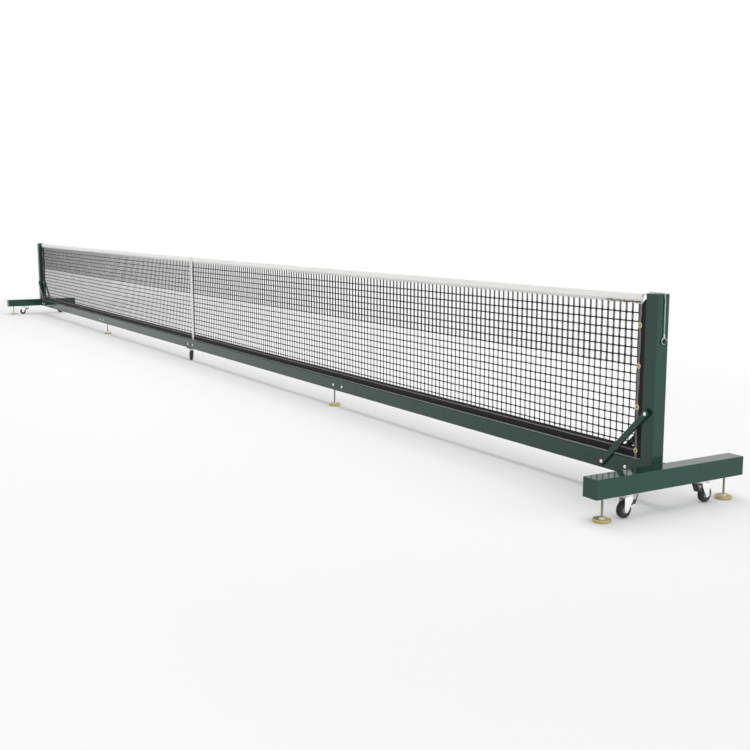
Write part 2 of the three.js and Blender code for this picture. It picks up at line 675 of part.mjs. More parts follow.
// One end of the head cord: out of the headband, over the post's cap, down its outer face to an eye.
function cordEnd() {
  const overCap = POST_TOP + CORD_RADIUS + SEAT_GAP;
  const rise = cordAlong(
    [
      [HEADBAND_X - 12, 0, CORD_Z - dip(HEADBAND_X - 12)],
      [HEADBAND_X + 8, 0, CORD_Z + 0.8],
      [HEADBAND_X + 32, 0, CORD_Z + 7.5],
      [HALF_SPAN - 7, 0, overCap + 0.3],
      [HALF_SPAN + 10, 0, overCap + 0.6],
      [POST_X, 0, overCap],
      [POST_X + 5, 0, overCap],
    ],
    14,
  );
  const overEdge = cordAlong(
    [
      [POST_X, 0, overCap],
      [POST_OUTER_X - 9, 0, overCap + 0.3],
      [POST_OUTER_X + 0.2, 0.3, overCap + 0.9],
      [POST_OUTER_X + 3.8, 0.7, POST_TOP + 2.8],
      [POST_OUTER_X + 5.2, 1.2, POST_TOP - 1.2],
      [CORD_OUTER_X, 2.5, POST_TOP - 10],
      [CORD_OUTER_X, EYE_Y, POST_TOP - 42],
      [CORD_OUTER_X, EYE_Y, POST_TOP - 50],
    ],
    28,
  );
  const dropBottom = EYE_Z + EYE_RADIUS;
  const dropAt = [CORD_OUTER_X, EYE_Y, dropBottom];
  const drop = rod(CORD_RADIUS, POST_TOP - 46 - dropBottom, "z", dropAt, CORD_SIDES);
  const ferrule = rod(FERRULE_RADIUS, 20, "z", [CORD_OUTER_X, EYE_Y, dropBottom - 1], 10);
  const ring = new THREE.TorusGeometry(EYE_RADIUS, CORD_RADIUS, 8, 16).rotateY(Math.PI / 2);
  const eye = solid(ring.translate(CORD_OUTER_X, EYE_Y, EYE_Z));
  return join(rise, overEdge, drop, ferrule, eye);
}

function headCord() {
  const reach = HEADBAND_X - 10;
  const middle = extrude(cordShape(), 2 * reach, "x", [-reach, 0, CORD_Z], 2);
  const end = cordEnd();
  return join(solid(hang(middle, 0, 1)), end, end.rotate([0, 0, 180]));
}

function netPanel() {
  const reach = SIDE_TAPE_X - SEAT_GAP;
  const low = TAPE_TOP + SEAT_GAP;
  const high = HEADBAND_BOTTOM - SEAT_GAP;
  const panel = new THREE.BoxGeometry(2 * reach, NET_THICKNESS, high - low, 2, 1, 1);
  return solid(hang(panel.translate(0, 0, (low + high) / 2), low, high));
}

const ANCHOR_BASE = 2.5;

function bottomTape() {
  const reach = SIDE_TAPE_X - SEAT_GAP;
  const half = TAPE_THICKNESS / 2;
  const tape = block([-reach, -half, TAPE_BOTTOM], [reach, half, TAPE_TOP]);
  // The strap's anchor passes under the tape through a small notch.
  const notch = STRAP_WIDTH / 2 + 2;
  return cut(
    tape,
    block([-notch, -half - 1, TAPE_BOTTOM - 1], [notch, half + 1, TAPE_BOTTOM + ANCHOR_BASE + SEAT_GAP]),
  );
}

// The side tape: a flat stitched tape ending in a sleeve that slides over the lacing rod.
function sideTape() {
  const half = TAPE_THICKNESS / 2;
  const inner = LACING_ROD_RADIUS + SLEEVE_GAP;
  const outer = inner + 2;
  const top = HEADBAND_BOTTOM - SEAT_GAP - dip(SIDE_TAPE_X);
  const low = TAPE_BOTTOM + LACING_TAB + 10;
  const flat = block([SIDE_TAPE_X, -half, TAPE_BOTTOM], [LACING_ROD_X - inner - 1, half, top]);
  const sleeve = rod(outer, top - low, "z", [LACING_ROD_X, 0, low], 16);
  const bore = rod(inner / Math.cos(Math.PI / 16), top - low + 2, "z", [LACING_ROD_X, 0, low - 1], 16);
  return join(flat, cut(sleeve, bore));
}

// A round bar along the post's inner face, carried by a tab at each end.
function lacingRod() {
  const low = TAPE_BOTTOM + 3;
  const high = HEADBAND_BOTTOM + 6;
  const bar = rod(LACING_ROD_RADIUS, high - low, "z", [LACING_ROD_X, 0, low], 16);
  const tabs = [low, high - LACING_TAB].map((z) =>
    block([LACING_ROD_X, -8, z], [HALF_SPAN - SEAT_GAP, 8, z + LACING_TAB]),
  );
  return join(bar, ...tabs);
}

function centreStrap() {
  const half = STRAP_WIDTH / 2;
  const inner = STRAP_HALF_GAP;
  const outer = inner + STRAP_PLY;
  const innerTop = HEADBAND_TOP - HEADBAND_DIP + 0.5;
  const low = BEAM_TOP + SEAT_GAP + ANCHOR_BASE + SEAT_GAP;
  const shape = new THREE.Shape();
  shape.moveTo(-outer, low);
  shape.lineTo(-inner, low);
  shape.lineTo(-inner, innerTop);
  shape.lineTo(inner, innerTop);
  shape.lineTo(inner, low);
  shape.lineTo(outer, low);
  shape.lineTo(outer, innerTop);
  shape.lineTo(inner, innerTop + STRAP_PLY);
  shape.lineTo(-inner, innerTop + STRAP_PLY);
  shape.lineTo(-outer, innerTop);
  return solid(extrude(shape, STRAP_WIDTH, "x", [-half, 0, 0]));
}

// A steel channel under the bottom tape; the strap's two ends are riveted inside its ears.
function strapAnchor() {
  const inner = STRAP_HALF_GAP + STRAP_PLY + SEAT_GAP;
  const outer = inner + 2;
  const low = BEAM_TOP + SEAT_GAP;
  const earTop = low + 22;
  const shape = new THREE.Shape();
  shape.moveTo(-outer, low);
  shape.lineTo(outer, low);
  shape.lineTo(outer, earTop);
  shape.lineTo(inner, earTop);
  shape.lineTo(inner, low + ANCHOR_BASE);
  shape.lineTo(-inner, low + ANCHOR_BASE);
  shape.lineTo(-inner, earTop);
  shape.lineTo(-outer, earTop);
  const length = STRAP_WIDTH - 8;
  return solid(extrude(shape, length, "x", [-length / 2, 0, 0]));
}

// A cord laced along the headband's lower edge through eyelets, at the right-hand corner.
function cornerLacing() {
  const y = -HEM_HALF - CORD_RADIUS - SEAT_GAP;
  const line = HEADBAND_BOTTOM + 8;
  const start = HALF_SPAN - 322;
  const pitch = 62;
  const route = [0, 1, 2, 3, 4].map((i) => [start + i * pitch, y, line + (i % 2 ? -2.5 : 1.5)]);
  return cordAlong(route, 16);
}

// ---- Assembly -------------------------------------------------------------------------------------

const net = new THREE.Group();

// Both ends are alike; the left one is the right one turned half round.
const ends = [
  { side: "right", turn: 0, front: -1 },
  { side: "left", turn: Math.PI, front: 1 },
];
for (const { side, turn, front } of ends) {
  const end = new THREE.Group();
  end.rotation.z = turn;
  const lowBolt = node(`brace_bolt_lower_${side}`, bolt(BRACE_LOW_X, BOLT_LINE, braceGrip), zinc);
  const highBolt = node(`brace_bolt_upper_${side}`, bolt(BRACE_TOP_X, BRACE_TOP_Z, braceGrip), zinc);
  const endBolt = node(`rail_end_bolt_${side}`, bolt(SEAM_X - STUB_BOLT, BOLT_LINE, railGrip), zinc);
  if (turn) {
    // Bolt heads face the front at both ends.
    for (const [mesh, x] of [
      [lowBolt, BRACE_LOW_X],
      [highBolt, BRACE_TOP_X],
      [endBolt, SEAM_X - STUB_BOLT],
    ]) {
      mesh.rotation.z = Math.PI;
      mesh.position.x = 2 * x;
    }
  }
  end.add(
    node(`t_base_${side}`, tBase(), green),
    node(`post_${side}`, post(), green),
    node(`brace_front_${side}`, brace(front), green),
    node(`brace_rear_${side}`, brace(-front), green),
    node(`lacing_rod_${side}`, lacingRod(), green),
    node(`side_tape_${side}`, sideTape(), blackTape),
    lowBolt,
    highBolt,
    endBolt,
  );
  net.add(end);
}

const railEnds = [-SEAM_X, -SPLICE_X, 0, SPLICE_X, SEAM_X];
["left_outer", "left_inner", "right_inner", "right_outer"].forEach((name, i) => {
  net.add(node(`rail_${name}`, railSection(railEnds[i], railEnds[i + 1]), green));
});
["left", "centre", "right"].forEach((name, i) => {
  const centre = railEnds[i + 1];
  net.add(node(`splice_sleeve_${name}`, spliceSleeve(centre), green));
  spliceBolts(centre).forEach((x, j) => {
    net.add(node(`splice_bolt_${name}_${j + 1}`, bolt(x, BOLT_LINE, railGrip), zinc));
  });
});

for (const { name, x, y, turn } of CASTERS) {
  const caster = new THREE.Group();
  caster.position.set(x, y, 0);
  caster.rotation.z = THREE.MathUtils.degToRad(turn);
  caster.add(
    node(`fork_${name}`, fork(), zinc),
    node(`wheel_${name}`, wheel(), rubber),
    node(`brake_pedal_${name}`, pedal(), blackPlastic),
  );
  net.add(caster);
}

for (const { name, x, y } of FEET) {
  const mesh = node(`foot_${name}`, foot(), goldZinc);
  mesh.position.set(x, y, 0);
  net.add(mesh);
}

net.add(
  node("net_mesh", netPanel(), twine),
  node("headband", headband(), whiteVinyl),
  node("bottom_tape", bottomTape(), blackTape),
  node("centre_strap", centreStrap(), whiteWeb),
  node("strap_anchor", strapAnchor(), zinc),
  node("head_cord", headCord(), zinc),
  node("corner_lacing", cornerLacing(), greenCord),
);

export default net;
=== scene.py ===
"""A free-standing court net on wheels: two T-shaped steel bases with square posts, a bolted ground
rail, casters and levelling feet, and a white-banded net between the posts.

Metres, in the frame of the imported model: X along the net, -Y the front, +Z up, floor at z = 0.
"""
import bmesh
import bpy
import json
import math
import numpy as np
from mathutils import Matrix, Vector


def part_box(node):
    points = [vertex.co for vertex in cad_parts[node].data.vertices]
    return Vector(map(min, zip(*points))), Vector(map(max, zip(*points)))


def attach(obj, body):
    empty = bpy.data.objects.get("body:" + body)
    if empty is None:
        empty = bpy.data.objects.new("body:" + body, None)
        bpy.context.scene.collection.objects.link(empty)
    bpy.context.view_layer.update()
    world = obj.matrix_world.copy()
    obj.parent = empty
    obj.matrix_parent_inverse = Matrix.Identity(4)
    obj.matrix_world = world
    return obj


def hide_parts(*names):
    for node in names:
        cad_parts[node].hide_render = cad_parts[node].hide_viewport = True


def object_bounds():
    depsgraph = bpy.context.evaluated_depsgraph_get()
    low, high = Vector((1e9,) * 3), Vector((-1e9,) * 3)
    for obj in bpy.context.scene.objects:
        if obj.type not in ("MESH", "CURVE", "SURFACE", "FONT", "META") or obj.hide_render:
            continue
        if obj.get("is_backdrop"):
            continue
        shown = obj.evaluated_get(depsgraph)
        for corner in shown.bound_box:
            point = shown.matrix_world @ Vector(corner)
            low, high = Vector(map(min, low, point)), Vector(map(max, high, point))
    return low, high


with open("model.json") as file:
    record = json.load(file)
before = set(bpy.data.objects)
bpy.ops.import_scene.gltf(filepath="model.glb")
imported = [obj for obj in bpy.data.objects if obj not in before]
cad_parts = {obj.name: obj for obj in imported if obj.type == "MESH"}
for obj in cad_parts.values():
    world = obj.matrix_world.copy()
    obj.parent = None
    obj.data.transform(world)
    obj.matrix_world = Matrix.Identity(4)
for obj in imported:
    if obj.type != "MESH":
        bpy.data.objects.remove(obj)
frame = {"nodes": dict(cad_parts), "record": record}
cad_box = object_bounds()
parts = bpy.context.scene.collection


# ---- Camera ----
# A long lens at eye height, ahead of the right-hand end and looking back along the net.

camera = bpy.data.objects.new("eye_height_camera", bpy.data.cameras.new("eye_height_camera"))
camera.data.sensor_width = 36
camera.data.lens = 50.494
camera.data.clip_start = 0.1
camera.data.clip_end = 400
camera.location = (10.2425, -3.9013, 1.45454)
camera.rotation_euler = (math.pi / 2 - 0.1470573, 0, 1.03528174)
parts.objects.link(camera)
bpy.context.scene.camera = camera


# ---- Studio ----
# A seamless white floor that keeps the net's soft shadow, under a white sky that is brighter low
# on the right, with one long soft lamp above the net.


def linear(hex_colour):
    """An sRGB hex colour as linear red, green, blue and alpha 1."""
    srgb = np.array([int(hex_colour[i : i + 2], 16) for i in (1, 3, 5)]) / 255
    values = np.where(srgb <= 0.04045, srgb / 12.92, ((srgb + 0.055) / 1.055) ** 2.4)
    return (*values.tolist(), 1.0)


def nodes_for(tree):
    """Empties a node tree and gives the function that adds a node to it."""
    tree.nodes.clear()

    def add(kind, settings=None, *inputs, **named):
        """Adds a shader node. settings are its properties, inputs go to its live sockets in order,
        and named ones to the socket of that name, with _ for a space. Each is a number, a hex
        colour, another node's output, or a node, which stands for its first live output."""
        node = tree.nodes.new("ShaderNode" + kind)
        for name, value in (settings or {}).items():
            setattr(node, name, value)
        live = [socket for socket in node.inputs if socket.enabled]
        by_name = {socket.name.replace(" ", "_"): socket for socket in live[::-1]}
        for socket, value in [*zip(live, inputs), *((by_name[k], v) for k, v in named.items())]:
            if isinstance(value, bpy.types.Node):
                value = next(output for output in value.outputs if output.enabled)
            if isinstance(value, bpy.types.NodeSocket):
                tree.links.new(value, socket)
            else:
                socket.default_value = linear(value) if isinstance(value, str) else value
        return node

    return add


def new_material(name):
    """A node material, its add function, and each point's place on the object's own axes."""
    made = bpy.data.materials.new(name)
    made.use_nodes = True
    add = nodes_for(made.node_tree)
    return made, add, add("TexCoord").outputs["Object"]


FLOOR_HALF = 150
FLOOR_Z = -0.0004
floor_mesh = bpy.data.meshes.new("studio_floor")
corners = [(x * FLOOR_HALF, y * FLOOR_HALF, FLOOR_Z) for x, y in ((-1, -1), (1, -1), (1, 1), (-1, 1))]
floor_mesh.from_pydata(corners, [], [(0, 1, 2, 3)])
floor = bpy.data.objects.new("studio_floor", floor_mesh)
parts.objects.link(floor)
floor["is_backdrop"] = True


def seen_directly(add):
    """1 for rays that come from the camera or off or through a shiny surface, 0 for diffuse light."""
    path = add("LightPath")
    seen = path.outputs["Is Camera Ray"]
    for kind in ("Is Glossy Ray", "Is Transmission Ray"):
        seen = add("Math", {"operation": "MAXIMUM"}, seen, path.outputs[kind])
    return seen


floor_paint, add, place = new_material("matt_white_floor_paint")
split = add("SeparateXYZ", None, place)
# Distance from the net's line: the floor fades from lit paint to plain white 1 to 5 m away.
length = add("Math", {"operation": "ABSOLUTE"}, split.outputs["X"])
past = add("Math", {"operation": "SUBTRACT"}, length, 6.4)
past = add("Math", {"operation": "MAXIMUM"}, past, 0.0)
offset = add("CombineXYZ", X=past, Y=split.outputs["Y"])
away = add("VectorMath", {"operation": "LENGTH"}, offset)
eased = {"interpolation_type": "SMOOTHSTEP"}
far = add("MapRange", eased, Value=away, From_Min=1.0, From_Max=5.0)
bounce = add("BsdfDiffuse", Color="#fafafa")
lit = add("BsdfDiffuse", Color="#efefef")
white = add("Emission", Color="#ffffff", Strength=1.0)
shown = add("MixShader", None, far, lit, white)
paint = add("MixShader", None, seen_directly(add), bounce, shown)
add("OutputMaterial", Surface=paint)
floor_mesh.materials.append(floor_paint)

bpy.context.scene.view_settings.view_transform = "Standard"
world = bpy.data.worlds.new("white_studio")
bpy.context.scene.world = world
world.use_nodes = True
add = nodes_for(world.node_tree)
# The sky is even but for a brighter bank low on the right, as wide as a studio's window wall.
toward = add("SeparateXYZ", None, add("TexCoord").outputs["Generated"])
right, up = toward.outputs["X"], toward.outputs["Z"]
rightward = add("MapRange", eased, Value=right, From_Min=0.3, From_Max=1.0)
low = add("MapRange", eased, Value=up, From_Min=0.2, From_Max=0.7, To_Min=4.4, To_Max=0.0)
bank = add("Math", {"operation": "MULTIPLY_ADD"}, rightward, low, 0.48)
lighting = add("Background", Color="#ffffff", Strength=bank)
backdrop = add("Background", Color="#ffffff", Strength=1.0)
sky = add("MixShader", None, seen_directly(add), lighting, backdrop)
add("OutputWorld", Surface=sky)

# The lamp hangs over the middle and faces straight down, as an unturned one does.
lamp = bpy.data.objects.new("overhead_softbox", bpy.data.lights.new("overhead_softbox", "AREA"))
lamp.data.shape = "RECTANGLE"
lamp.data.size, lamp.data.size_y = 20, 5
lamp.data.energy = 580
lamp.location = (0, 0, 7.8)
parts.objects.link(lamp)


# ---- Steel frame ----
# Cold-formed square and rectangular steel tube, cut square, MIG-welded and powder-coated a dark
# gloss green. The coat rounds the welds over and has a very fine orange-peel surface.


def grid(rows, columns, closed=False):
    """Four-cornered faces over rows of points that each run round a ring: a face joins a point, the
    one in the next row, that one's neighbour and the point's own. A closed grid joins its last row
    to its first as well."""
    i = np.arange(rows if closed else rows - 1)[:, None]
    j = np.arange(columns)[None]
    after, beside = (i + 1) % rows, (j + 1) % columns
    corners = [i * columns + j, after * columns + j, after * columns + beside, i * columns + beside]
    return np.stack(np.broadcast_arrays(*corners), -1).reshape(-1, 4)


def piece(name, surfaces, finish, slot, nodes=(), body="frame", crease=32, bevel=0):
    """Makes one shown piece from (points, faces) surfaces, where faces is an array or a list of
    arrays: points are pooled, shared ones are merged so that seams and poles close, and faces are
    turned outwards. A third value gives every point's place on flat cloth. crease is the angle in
    degrees above which an edge stays sharp, and bevel the width of a round edge put on sharp ones.
    The piece rides on the body and stands for the CAD nodes."""
    points, faces, flat, count = [], [], [], 0
    for p, f, *uv in surfaces:
        points.append(np.reshape(p, (-1, 3)))
        flat += [np.reshape(uv[0], (-1, 2))] if uv else []
        for block in f if isinstance(f, list) else [f]:
            faces += (block + count).tolist()
        count += len(points[-1])
    mesh = bpy.data.meshes.new(name)
    mesh.from_pydata(np.concatenate(points), [], faces)
    if flat:
        corners = np.concatenate(faces)
        layer = mesh.uv_layers.new(name="flat")
        layer.data.foreach_set("uv", np.concatenate(flat)[corners].astype(np.float32).ravel())
    work = bmesh.new()
    work.from_mesh(mesh)
    bmesh.ops.remove_doubles(work, verts=work.verts, dist=2e-6)
    bmesh.ops.recalc_face_normals(work, faces=work.faces)
    work.to_mesh(mesh)
    work.free()
    mesh.polygons.foreach_set("use_smooth", np.ones(len(mesh.polygons), bool))
    mesh.set_sharp_from_angle(angle=math.radians(crease))
    mesh.materials.append(finish)
    made = bpy.data.objects.new(name, mesh)
    parts.objects.link(made)
    if bevel:
        edge = made.modifiers.new("round_edge", "BEVEL")
        edge.width = bevel
        edge.segments = 2
        edge.angle_limit = math.radians(40)
        edge.harden_normals = True
    if slot == "green_powder_coat":
        # Wide faces shade flat right up to their rounded corners.
        level = made.modifiers.new("flat_to_the_corner", "WEIGHTED_NORMAL")
        level.keep_sharp = True
    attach(made, body)
    if nodes:
        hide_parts(*nodes)
    return made


def rounded(width, height, corner, steps=6):
    """A rectangle with rounded corners as a loop of points: each corner is a quarter circle."""
    angle = (np.arange(4)[:, None] + np.linspace(0, 1, steps + 1)) * math.pi / 2
    centre = np.array([(1, 1), (-1, 1), (-1, -1), (1, -1)]) * (width / 2 - corner, height / 2 - corner)
    return (np.stack([np.cos(angle), np.sin(angle)], -1) * corner + centre[:, None]).reshape(-1, 2)


def stacked(loops, heights, axis, at, closed=False):
    """A surface through loops of points, one at each height. It is drawn upright, then turned so
    that its height runs along the named axis."""
    loops = np.asarray(loops, float)
    heights = np.broadcast_to(np.asarray(heights, float)[:, None, None], (*loops.shape[:2], 1))
    points = np.roll(np.concatenate([loops, heights], -1), "zxy".index(axis), -1)
    return points + at, grid(*loops.shape[:2], closed)


def bar(outline, length, axis, at, edge=0.001):
    """A solid bar of that outline. Each end starts at the middle point, goes out to a ring just
    inside the edge, then to the edge, and round that quarter circle to the side."""
    turn = np.linspace(0, math.pi / 2, 4)
    inset, rise = edge * np.append(1.8, 1 - np.sin(turn)), edge * np.append(0, 1 - np.cos(turn))
    middle = outline.mean(0)
    share = 1 - inset / np.linalg.norm(outline - middle, axis=1).max()
    scale = np.concatenate([[0], share, share[::-1], [0]])
    heights = np.concatenate([[0], rise, length - rise[::-1], [length]])
    return stacked(middle + (outline - middle) * scale[:, None, None], heights, axis, at)


def pipe(width, height, corner, wall, length, axis, at):
    """An open tube: a loop up the outside, over the eased rim, and back down the inside."""
    rim = 0.0004
    hole = max(corner - wall, 0.0009)
    sizes = [(0, corner), (0, corner), (rim, corner - rim), (wall - rim, hole + rim)]
    sizes += [(wall, hole), (wall, hole), (wall - rim, hole + rim), (rim, corner - rim)]
    loops = [rounded(width - 2 * inset, height - 2 * inset, radius) for inset, radius in sizes]
    heights = [rim, length - rim, length, length, length - rim, rim, 0, 0]
    return stacked(loops, heights, axis, at, True)


def spun(profile, sides, axis, at):
    """A turned shape: (radius, height) points, in millimetres, carried round the axis."""
    profile = np.asarray(profile, float) / 1000
    turn = np.arange(sides) / sides * 2 * math.pi
    loops = profile[:, None, :1] * np.stack([np.cos(turn), np.sin(turn)], -1)
    return stacked(loops, profile[:, 1], axis, at)


def directions(line):
    """The unit direction of a line at each of its points."""
    along = np.gradient(line, axis=0)
    return along / np.linalg.norm(along, axis=1)[:, None]


def carried(line, side, up, radius, sides, tips=None):
    """A circle set round every point of a line, drawn on two directions across it, and shut at a
    point before and after. Without the two tips it is a closed ring."""
    turn = np.arange(sides) / sides * 2 * math.pi
    circle = np.cos(turn)[:, None] * side[:, None] + np.sin(turn)[:, None] * up[:, None]
    points = line[:, None] + circle * radius
    if tips:
        first, last = (np.broadcast_to(tip, (1, sides, 3)) for tip in tips)
        points = np.concatenate([first, points, last])
    return points, grid(len(points), sides, not tips)


def run(line, radius, sides=8):
    """A cord, wire or weld bead: a circle carried along a line of points, tapering shut just past
    each end. A line that ends where it starts is a closed ring."""
    line = np.asarray(line, float)
    closed = np.linalg.norm(line[0] - line[-1]) < 1e-9
    along = directions(np.vstack([line[-2], line, line[1]]) if closed else line)
    if closed:
        line, along = line[:-1], along[1:-2]
    steep = (np.abs(along[:, 2]) > 0.9).mean() > 0.5
    side = np.cross(along, (0.0, 1.0, 0.0) if steep else (0.0, 0.0, 1.0))
    side /= np.linalg.norm(side, axis=1)[:, None] + 1e-12
    radii = np.broadcast_to(radius, len(line))[:, None, None]
    past = 0.4 * along[[0, -1]] * radii[[0, -1], 0]
    tips = None if closed else (line[0] - past[0], line[-1] + past[1])
    return carried(line, side, np.cross(side, along), radii, sides, tips)


def arc(cx, cy, radius, start, end, steps):
    """Points of a circle's arc, from one angle to another in degrees."""
    angle = np.radians(np.linspace(start, end, steps))
    return np.stack([cx + radius * np.cos(angle), cy + radius * np.sin(angle)], -1)


powder_coat, add, place = new_material("dark_green_gloss_powder_coat")
# The film's thickness drifts over a hand's breadth; its orange peel is about 1.5 mm across.
drift = add("TexNoise", Vector=place, Scale=9.0, Detail=3.0)
RGBA = {"data_type": "RGBA"}
tone = add("Mix", RGBA, drift, "#12322a", "#173b32")
# A painted highlight lies on the rail's level top, brightest beside the net's tape.
split = add("SeparateXYZ", None, place)
facing = add("SeparateXYZ", None, add("NewGeometry").outputs["Normal"])
painted_highlight = add("MapRange", Value=facing.outputs["Z"], From_Min=0.3, From_Max=0.9)
beside = add("Math", {"operation": "ABSOLUTE"}, split.outputs["Y"])
beside = add("MapRange", Value=beside, From_Min=0.018, From_Max=0.03, To_Min=0.85, To_Max=0.0)
inside = add("Math", {"operation": "ABSOLUTE"}, split.outputs["X"])
inside = add("Math", {"operation": "LESS_THAN"}, inside, 6.39)
low_down = add("Math", {"operation": "LESS_THAN"}, split.outputs["Z"], 0.24)
for share in (beside, inside, low_down):
    painted_highlight = add("Math", {"operation": "MULTIPLY"}, painted_highlight, share)
# The pale green-grey mixed in here is the painted highlight.
tone = add("Mix", RGBA, painted_highlight, tone, "#bfc9c4")
peel = add("TexNoise", Vector=place, Scale=650.0, Detail=1.5)
dimple = add("Bump", Strength=0.1, Distance=0.00012, Height=peel)
dust = add("TexNoise", Vector=place, Scale=2.2, Detail=6.0)
haze = add("MapRange", Value=dust, From_Min=0.35, From_Max=0.7, To_Min=0.09, To_Max=0.15)
film = {"Roughness": haze, "IOR": 1.3, "Specular_IOR_Level": 0.9}
coat = add("BsdfPrincipled", Base_Color=tone, Normal=dimple, **film)
add("OutputMaterial", Surface=coat)

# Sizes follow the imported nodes' own boxes, so that each piece sits where the CAD says.
base_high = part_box("t_base_right")[1]
post_low, post_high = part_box("post_right")
rail_low, rail_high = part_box("rail_right_inner")
BEAM = 0.1
BEAM_TOP = rail_high.z
BEAM_X = base_high.x - BEAM / 2
BEAM_HALF = base_high.y
BEAM_FACE = BEAM_X - BEAM / 2
POST = post_high.y - post_low.y
POST_X = post_low.x + POST / 2
INNER_FACE, OUTER_FACE = POST_X - POST / 2, POST_X + POST / 2
RAIL_HEIGHT = rail_high.z - rail_low.z
RAIL_MID = BEAM_TOP - RAIL_HEIGHT / 2
BOLT_LINE = RAIL_MID - 0.006
SEAM_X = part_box("rail_right_outer")[1].x
CORNER, WALL = 0.0025, 0.0032
FIT = 0.0072  # how much smaller an inner tube is than the one it slides into
RAIL = (POST, RAIL_HEIGHT, CORNER)
SLEEVE = (POST - FIT, RAIL_HEIGHT - FIT, CORNER, 0.004)
SPIGOT = (POST - FIT, POST - FIT, CORNER, WALL)
SPIGOT_LENGTH = 0.1215
SLEEVE_OUT, SLEEVE_LENGTH = 0.128, 0.154
PEG_Y, PEG_Z = 0.006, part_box("head_cord")[0].z + 0.0118
ROD_X = INNER_FACE - 0.0168
SIDES = (("right", 1), ("left", -1))


def weld(width, height, corner, axis, at, radius=0.0022):
    """A weld bead round a tube, with the slow ripple of a hand-laid fillet."""
    ring = stacked([rounded(width, height, corner, 4)], [0], axis, at)[0][0]
    steps = np.linspace(0, 1, 9)[:-1, None]
    ring = np.concatenate([a + (b - a) * steps for a, b in zip(ring, np.roll(ring, -1, 0))])
    ripple = radius * (1 + 0.12 * np.sin(np.arange(len(ring)) * 2.1))
    return run(np.vstack([ring, ring[:1]]), ripple, 8)


def steelwork(name, surfaces, *nodes, sign=1):
    """A coated piece of the frame. Sign -1 gives it half a turn about the net's middle, which sets
    it at the other end."""
    surfaces = [(points * (sign, sign, 1), faces) for points, faces in surfaces]
    piece(name, surfaces, powder_coat, "green_powder_coat", nodes)


for side, sign in SIDES:
    stub_x = SEAM_X + 0.0003
    beam = rounded(BEAM, BEAM, 0.003)
    base = [
        bar(beam, 2 * BEAM_HALF, "y", (BEAM_X, -BEAM_HALF, BEAM_TOP - BEAM / 2), 0.0012),
        pipe(*RAIL, WALL, BEAM_FACE + 0.0005 - stub_x, "x", (stub_x, 0, RAIL_MID)),
        pipe(*SLEEVE, SLEEVE_LENGTH, "x", (SEAM_X - SLEEVE_OUT, 0, RAIL_MID)),
        pipe(*SPIGOT, SPIGOT_LENGTH, "z", (POST_X, 0, BEAM_TOP - 0.0015)),
        weld(*RAIL, "x", (BEAM_FACE - 0.0008, 0, RAIL_MID)),
    ]
    steelwork(f"t_base_steelwork_{side}", base, f"t_base_{side}", sign=sign)
    # The post stands over the spigot; a fine bead joins its cap, and a peg is welded outside.
    knob = [(0, 0), (9, 0), (9, 1), (7, 1.6), (5.5, 2.6), (5.5, 14.6), (8, 15.8), (8.5, 16.4)]
    knob += [(8.5, 17.8), (8, 18.6), (6.8, 19), (0, 19)]
    tube = rounded(POST, POST, CORNER)
    post = [
        bar(tube, post_high.z - post_low.z, "z", (POST_X, 0, post_low.z), 0.001),
        weld(POST - 0.0006, POST - 0.0006, 0.0024, "z", (POST_X, 0, post_high.z - 0.003), 0.0007),
        spun(knob, 24, "x", (OUTER_FACE - 0.0005, PEG_Y, PEG_Z)),
        weld(0.018, 0.018, 0.0089, "x", (OUTER_FACE, PEG_Y, PEG_Z), 0.0012),
    ]
    steelwork(f"post_tube_{side}", post, f"post_{side}", sign=sign)

# Rail sections butt together over the splice sleeves.
for name in ("left_outer", "left_inner", "right_inner", "right_outer"):
    low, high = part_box(f"rail_{name}")
    tube = pipe(*RAIL, WALL, high.x - low.x, "x", (low.x, 0, RAIL_MID))
    steelwork(f"rail_tube_{name}", [tube], f"rail_{name}")
for name in ("left", "centre", "right"):
    low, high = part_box(f"splice_sleeve_{name}")
    sleeve = pipe(*SLEEVE, high.x - low.x, "x", (low.x, 0, RAIL_MID))
    steelwork(f"splice_liner_{name}", [sleeve], f"splice_sleeve_{name}")

# Braces: flat-sided tube with open, square-cut ends, clamped to the faces of the post and rail.
BRACE_RISE = 0.303
BRACE_BOLT_X = POST_X - 0.006
BRACE_END = 0.024
BRACE_LENGTH = BRACE_RISE * math.sqrt(2) + 2 * BRACE_END
LEAN = np.array([[1, 0, 1], [0, math.sqrt(2), 0], [-1, 0, 1]]) / math.sqrt(2)
for side, sign in SIDES:
    for face in ("front", "rear"):
        low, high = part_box(f"brace_{face}_{side}")
        points, faces = pipe(0.016, 0.032, CORNER, CORNER, BRACE_LENGTH, "x", (-BRACE_END, 0, 0))
        points = points @ LEAN + (BRACE_BOLT_X - BRACE_RISE, 0, BOLT_LINE)
        points = points * (sign, 1, 1) + (0, (low.y + high.y) / 2, 0)
        steelwork(f"brace_tube_{face}_{side}", [(points, faces)], f"brace_{face}_{side}")

# Lacing rods: round bar on two tabs, down each post's inner face.
for side, sign in SIDES:
    low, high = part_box(f"lacing_rod_{side}")
    rod = [bar(arc(0, 0, 0.006, 0, 360, 25)[:-1], high.z - low.z, "z", (ROD_X, 0, low.z), 0.0008)]
    for z in (low.z, high.z - 0.006):
        tab = rounded(0.0165, 0.016, 0.0012, 3)
        rod.append(bar(tab, 0.006, "z", (ROD_X + 0.00825, 0, z), 0.0006))
    steelwork(f"lacing_bar_{side}", rod, f"lacing_rod_{side}", sign=sign)


# ---- Through-bolts ----
# Cold-headed M10 bolts with a low dome, bright zinc plated, run through from front to rear into a
# washer and a hexagon nut. The plating is a bright, faintly blue white.


